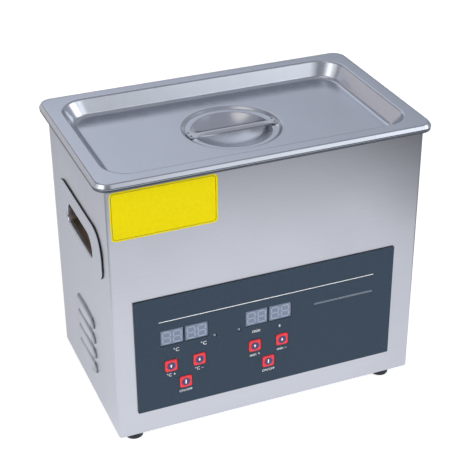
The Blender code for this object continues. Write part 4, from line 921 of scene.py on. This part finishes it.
# Stage
# A white paper floor, two softboxes and a white world light the object plainly. Cards that only reflections
# see give the steel its light and dark bands.
floor_half = 3.0
floor_z = -0.0004
floor_signs = ((-1, -1), (1, -1), (1, 1), (-1, 1))
floor_corners = [(sx * floor_half, sy * floor_half, floor_z) for sx, sy in floor_signs]
floor = surface("studio_floor", floor_corners, [(0, 1, 2, 3)])
white_floor = bpy.data.materials.new("white_paper_sweep")
white_floor.use_nodes = True
tree = white_floor.node_tree
tree.nodes.remove(tree.nodes["Principled BSDF"])
paper = node(tree, "ShaderNodeBsdfDiffuse", {"Color": linear("D0D0D0")})
floor_glow = 0.70
glow = node(tree, "ShaderNodeEmission", {"Color": (1, 1, 1, 1), "Strength": floor_glow})
both = node(tree, "ShaderNodeAddShader", {0: paper.outputs["BSDF"], 1: glow.outputs["Emission"]})
tree.links.new(both.outputs["Shader"], tree.nodes["Material Output"].inputs["Surface"])
floor.data.materials.append(white_floor)


def card(name, points, faces, tones, colour):
    """A sheet that only reflections see, as bright at each point as its tone, with 1 for white."""
    piece = surface(name, points, faces)
    tone = piece.data.attributes.new("tone", "FLOAT", "POINT")
    tone.data.foreach_set("value", np.asarray(tones, np.float32).ravel())
    made = bpy.data.materials.new(f"{name}_paper")
    made.use_nodes = True
    tree = made.node_tree
    tree.nodes.remove(tree.nodes["Principled BSDF"])
    level = node(tree, "ShaderNodeAttribute", attribute_name="tone")
    shine = node(tree, "ShaderNodeEmission", {"Color": linear(colour), "Strength": level.outputs["Fac"]})
    tree.links.new(shine.outputs["Emission"], tree.nodes["Material Output"].inputs["Surface"])
    piece.data.materials.append(made)
    piece.visible_camera = False
    piece.visible_diffuse = False
    piece.visible_shadow = False
    return piece


# The pool is what the walls reflect of the floor. Before the front wall it fades to the front, to the right
# and to the left, and is a little darker near the right corner. Beside the left wall it fades on a slant, and
# is dark beyond 0.30 m. The part beside the wall takes over between 0.10 m before the middle and the middle.
# Each fade is its depth times a smooth step, or two for the corner.
pool_half = 2.0
pool_steps = 121
pool_z = 0.0006
pool_line = np.linspace(-pool_half, pool_half, pool_steps)
pool_x, pool_y = np.meshgrid(pool_line, pool_line)
pool_points = np.stack([pool_x, pool_y, np.full_like(pool_x, pool_z)], axis=-1)
front_tone = 1.05
to_front = 0.84 * smooth_step(-pool_y, start=0.414, run=0.12)
to_right = 0.74 * smooth_step(pool_x, start=0.231, run=0.12)
to_left = 0.60 * smooth_step(-pool_x, start=0.25, run=0.26)
near_wall = smooth_step(pool_y, start=-0.30, run=0.12)
by_corner = 0.10 * smooth_step(pool_x, start=0.08, run=0.08) * near_wall
before = front_tone * (1 - to_front) * (1 - to_right) * (1 - to_left) * (1 - by_corner)
slant_turn, slant_x = 2.48, -0.125
slant_low, slant_high = -0.20, 0.116
slant = np.clip(pool_y + slant_turn * (pool_x - slant_x), slant_low, slant_high)
side_tone, side_x = 0.77, -0.14
slant_fade, outward_rise = 0.95, 0.19
far_left = 0.65 * smooth_step(-pool_x, start=0.30, run=0.06)
beside = (side_tone - slant_fade * slant - outward_rise * (pool_x - side_x)) * (1 - far_left)
beside_share = smooth_step(pool_y, start=-0.10, run=0.10)
pool_tones = before + (beside - before) * beside_share
pool_faces = grid_faces(pool_steps, pool_steps, wrap=False)
card("floor_pool", pool_points, pool_faces, pool_tones, "F2F5FD")

# Each card's tones stand for its corners: the first, the one along its side, the far one, and the one above.
card_steps = 13
card_faces = grid_faces(card_steps, card_steps, wrap=False)
card_line = np.linspace(0, 1, card_steps)
s, t = np.meshgrid(card_line, card_line)
for card_name, corner, side, rise, tones, colour in (
    ("back_card", (0.0, 1.9, 0.92), (1.7, 0, 0), (0, 0, 1.53), (1.08, 0.50, 0.50, 1.08), "F0F4FF"),
    ("back_low_card", (-0.4, 1.9, 0.0), (2.6, -0.4, 0), (0, 0, 0.90), (0.28, 0.28, 0.28, 0.28), "E8EEFF"),
    ("back_left_card", (-2.3, 1.0, 0.0), (2.2, 0.9, 0), (0, 0, 1.0), (0.85, 0.85, 0.70, 0.70), "F8F2F4"),
    ("back_left_high_card", (-2.3, 1.0, 1.0), (2.2, 0.9, 0), (0, 0, 1.4), (0.5, 0.5, 0.2, 0.2), "F4F4FF"),
    ("ceiling_card", (-1.6, -0.6, 2.4), (3.2, 0, 0), (0, 2.5, 0), (0.45, 0.45, 0.45, 0.45), "F4F4FF"),
    ("top_left_softbox_card", (-0.9, -0.3, 2.35), (0.85, 0, 0), (0, 0.85, 0), (1.1, 1.1, 1.1, 1.1), "FFF8F4"),
    ("front_low_card", (-1.6, -1.5, 0.0), (3.4, 0, 0), (0, 0, 0.55), (0.20, 0.20, 0.20, 0.20), "F0F4FF"),
    ("front_left_card", (-1.6, -1.5, 0.55), (1.3, 0, 0), (0, 0, 1.75), (0.35, 0.12, 0.40, 0.40), "F2F6FF"),
    ("front_card", (-0.3, -1.5, 0.55), (1.9, 0, 0), (0, 0, 1.75), (0.12, 0.85, 2.78, 0.40), "FAFBFE"),
    ("front_high_card", (-1.6, -1.5, 2.3), (3.2, 0, 0), (0, 0.9, 0.1), (0.40, 0.40, 0.40, 0.40), "F4F4FF"),
    ("right_low_card", (1.5, -1.5, 0.0), (0, 3.2, 0), (0, 0, 0.80), (0.45, 0.45, 0.45, 0.45), "F0F4FF"),
    ("right_softbox_card", (1.5, -1.0, 0.82), (0, 1.0, 0), (0, 0, 1.1), (3.5, 3.5, 1.0, 1.0), "FFFFFF"),
    ("right_back_card", (1.5, 0.0, 0.80), (0, 1.7, 0), (0, 0, 1.6), (0.45, 0.45, 0.45, 0.45), "F4F4FF"),
    ("left_card", (-1.4, -1.1, 1.0), (0, 1.1, 0), (0, 0, 0.9), (2.6, 2.6, 2.6, 2.6), "FFFFFF"),
):
    corner, side, rise = (np.asarray(part, float) for part in (corner, side, rise))
    card_points = corner + s[..., None] * side + t[..., None] * rise
    card_tones = (1 - t) * ((1 - s) * tones[0] + s * tones[1]) + t * (s * tones[2] + (1 - s) * tones[3])
    card(card_name, card_points, card_faces, card_tones, colour)

# The world is white to the camera and in reflections, and lights the object at under half of that.
world = bpy.data.worlds.new("white_studio")
bpy.context.scene.world = world
world.use_nodes = True
tree = world.node_tree
path = node(tree, "ShaderNodeLightPath")
first_two = {0: path.outputs["Is Camera Ray"], 1: path.outputs["Is Glossy Ray"]}
either = node(tree, "ShaderNodeMath", first_two, operation="ADD")
all_three = {0: either.outputs["Value"], 1: path.outputs["Is Transmission Ray"]}
seen = node(tree, "ShaderNodeMath", all_three, operation="ADD", use_clamp=True)
world_light = 0.45
levels = {"Value": seen.outputs["Value"], "To Min": world_light, "To Max": 1.0}
strength = node(tree, "ShaderNodeMapRange", levels)
tree.links.new(strength.outputs["Result"], tree.nodes["Background"].inputs["Strength"])
tree.nodes["Background"].inputs["Color"].default_value = (1, 1, 1, 1)


def softbox(name, place, aim, size, power):
    """A square area lamp at a place, turned so that it points at aim."""
    lamp = bpy.data.lights.new(name, "AREA")
    lamp.shape = "SQUARE"
    lamp.size = size
    lamp.energy = power
    holder = bpy.data.objects.new(name, lamp)
    bpy.context.scene.collection.objects.link(holder)
    away = np.asarray(place, float) - np.asarray(aim, float)
    away = away / np.linalg.norm(away)
    right = np.cross((0, 1, 0), away)
    right = right / np.linalg.norm(right)
    up = np.cross(away, right)
    turned = Matrix(np.stack([right, up, away], axis=1).tolist()).to_4x4()
    holder.matrix_world = Matrix.Translation(place) @ turned
    holder.visible_glossy = False
    return holder


middle = (0, 0, 0.1)
softbox("front_softbox", (0.25, -1.35, 1.15), middle, 0.9, 12.5)
softbox("left_softbox", (-1.3, -0.2, 0.9), middle, 0.8, 5)


# Camera
# Looks down at the front left corner, as the product shot does, with a long lens. Its place, turn and focal
# length, in pixels of an image 465 wide, come from the outlines of the housing and lid.
azimuth, elevation, roll_angle = np.radians((-22.136, 29.741, -0.370))
back = np.array(
    [np.sin(azimuth) * np.cos(elevation), -np.cos(azimuth) * np.cos(elevation), np.sin(elevation)]
)
right = np.array([np.cos(azimuth), np.sin(azimuth), 0.0])
up = np.cross(back, right)
right, up = (
    np.cos(roll_angle) * right + np.sin(roll_angle) * up,
    -np.sin(roll_angle) * right + np.cos(roll_angle) * up,
)
lens_data = bpy.data.cameras.new("product_camera")
focal_pixels = 1262.2
image_width = 465
lens_data.sensor_width = 36.0
lens_data.lens = focal_pixels / image_width * lens_data.sensor_width
lens_data.clip_start = 0.01
camera = bpy.data.objects.new("product_camera", lens_data)
bpy.context.scene.collection.objects.link(camera)
facing = Matrix(np.stack([right, up, back], axis=1).tolist()).to_4x4()
eye = (-0.33255, -0.81744, 0.63205)
camera.matrix_world = Matrix.Translation(eye) @ facing
bpy.context.scene.camera = camera
bpy.context.scene.view_settings.view_transform = "Standard"
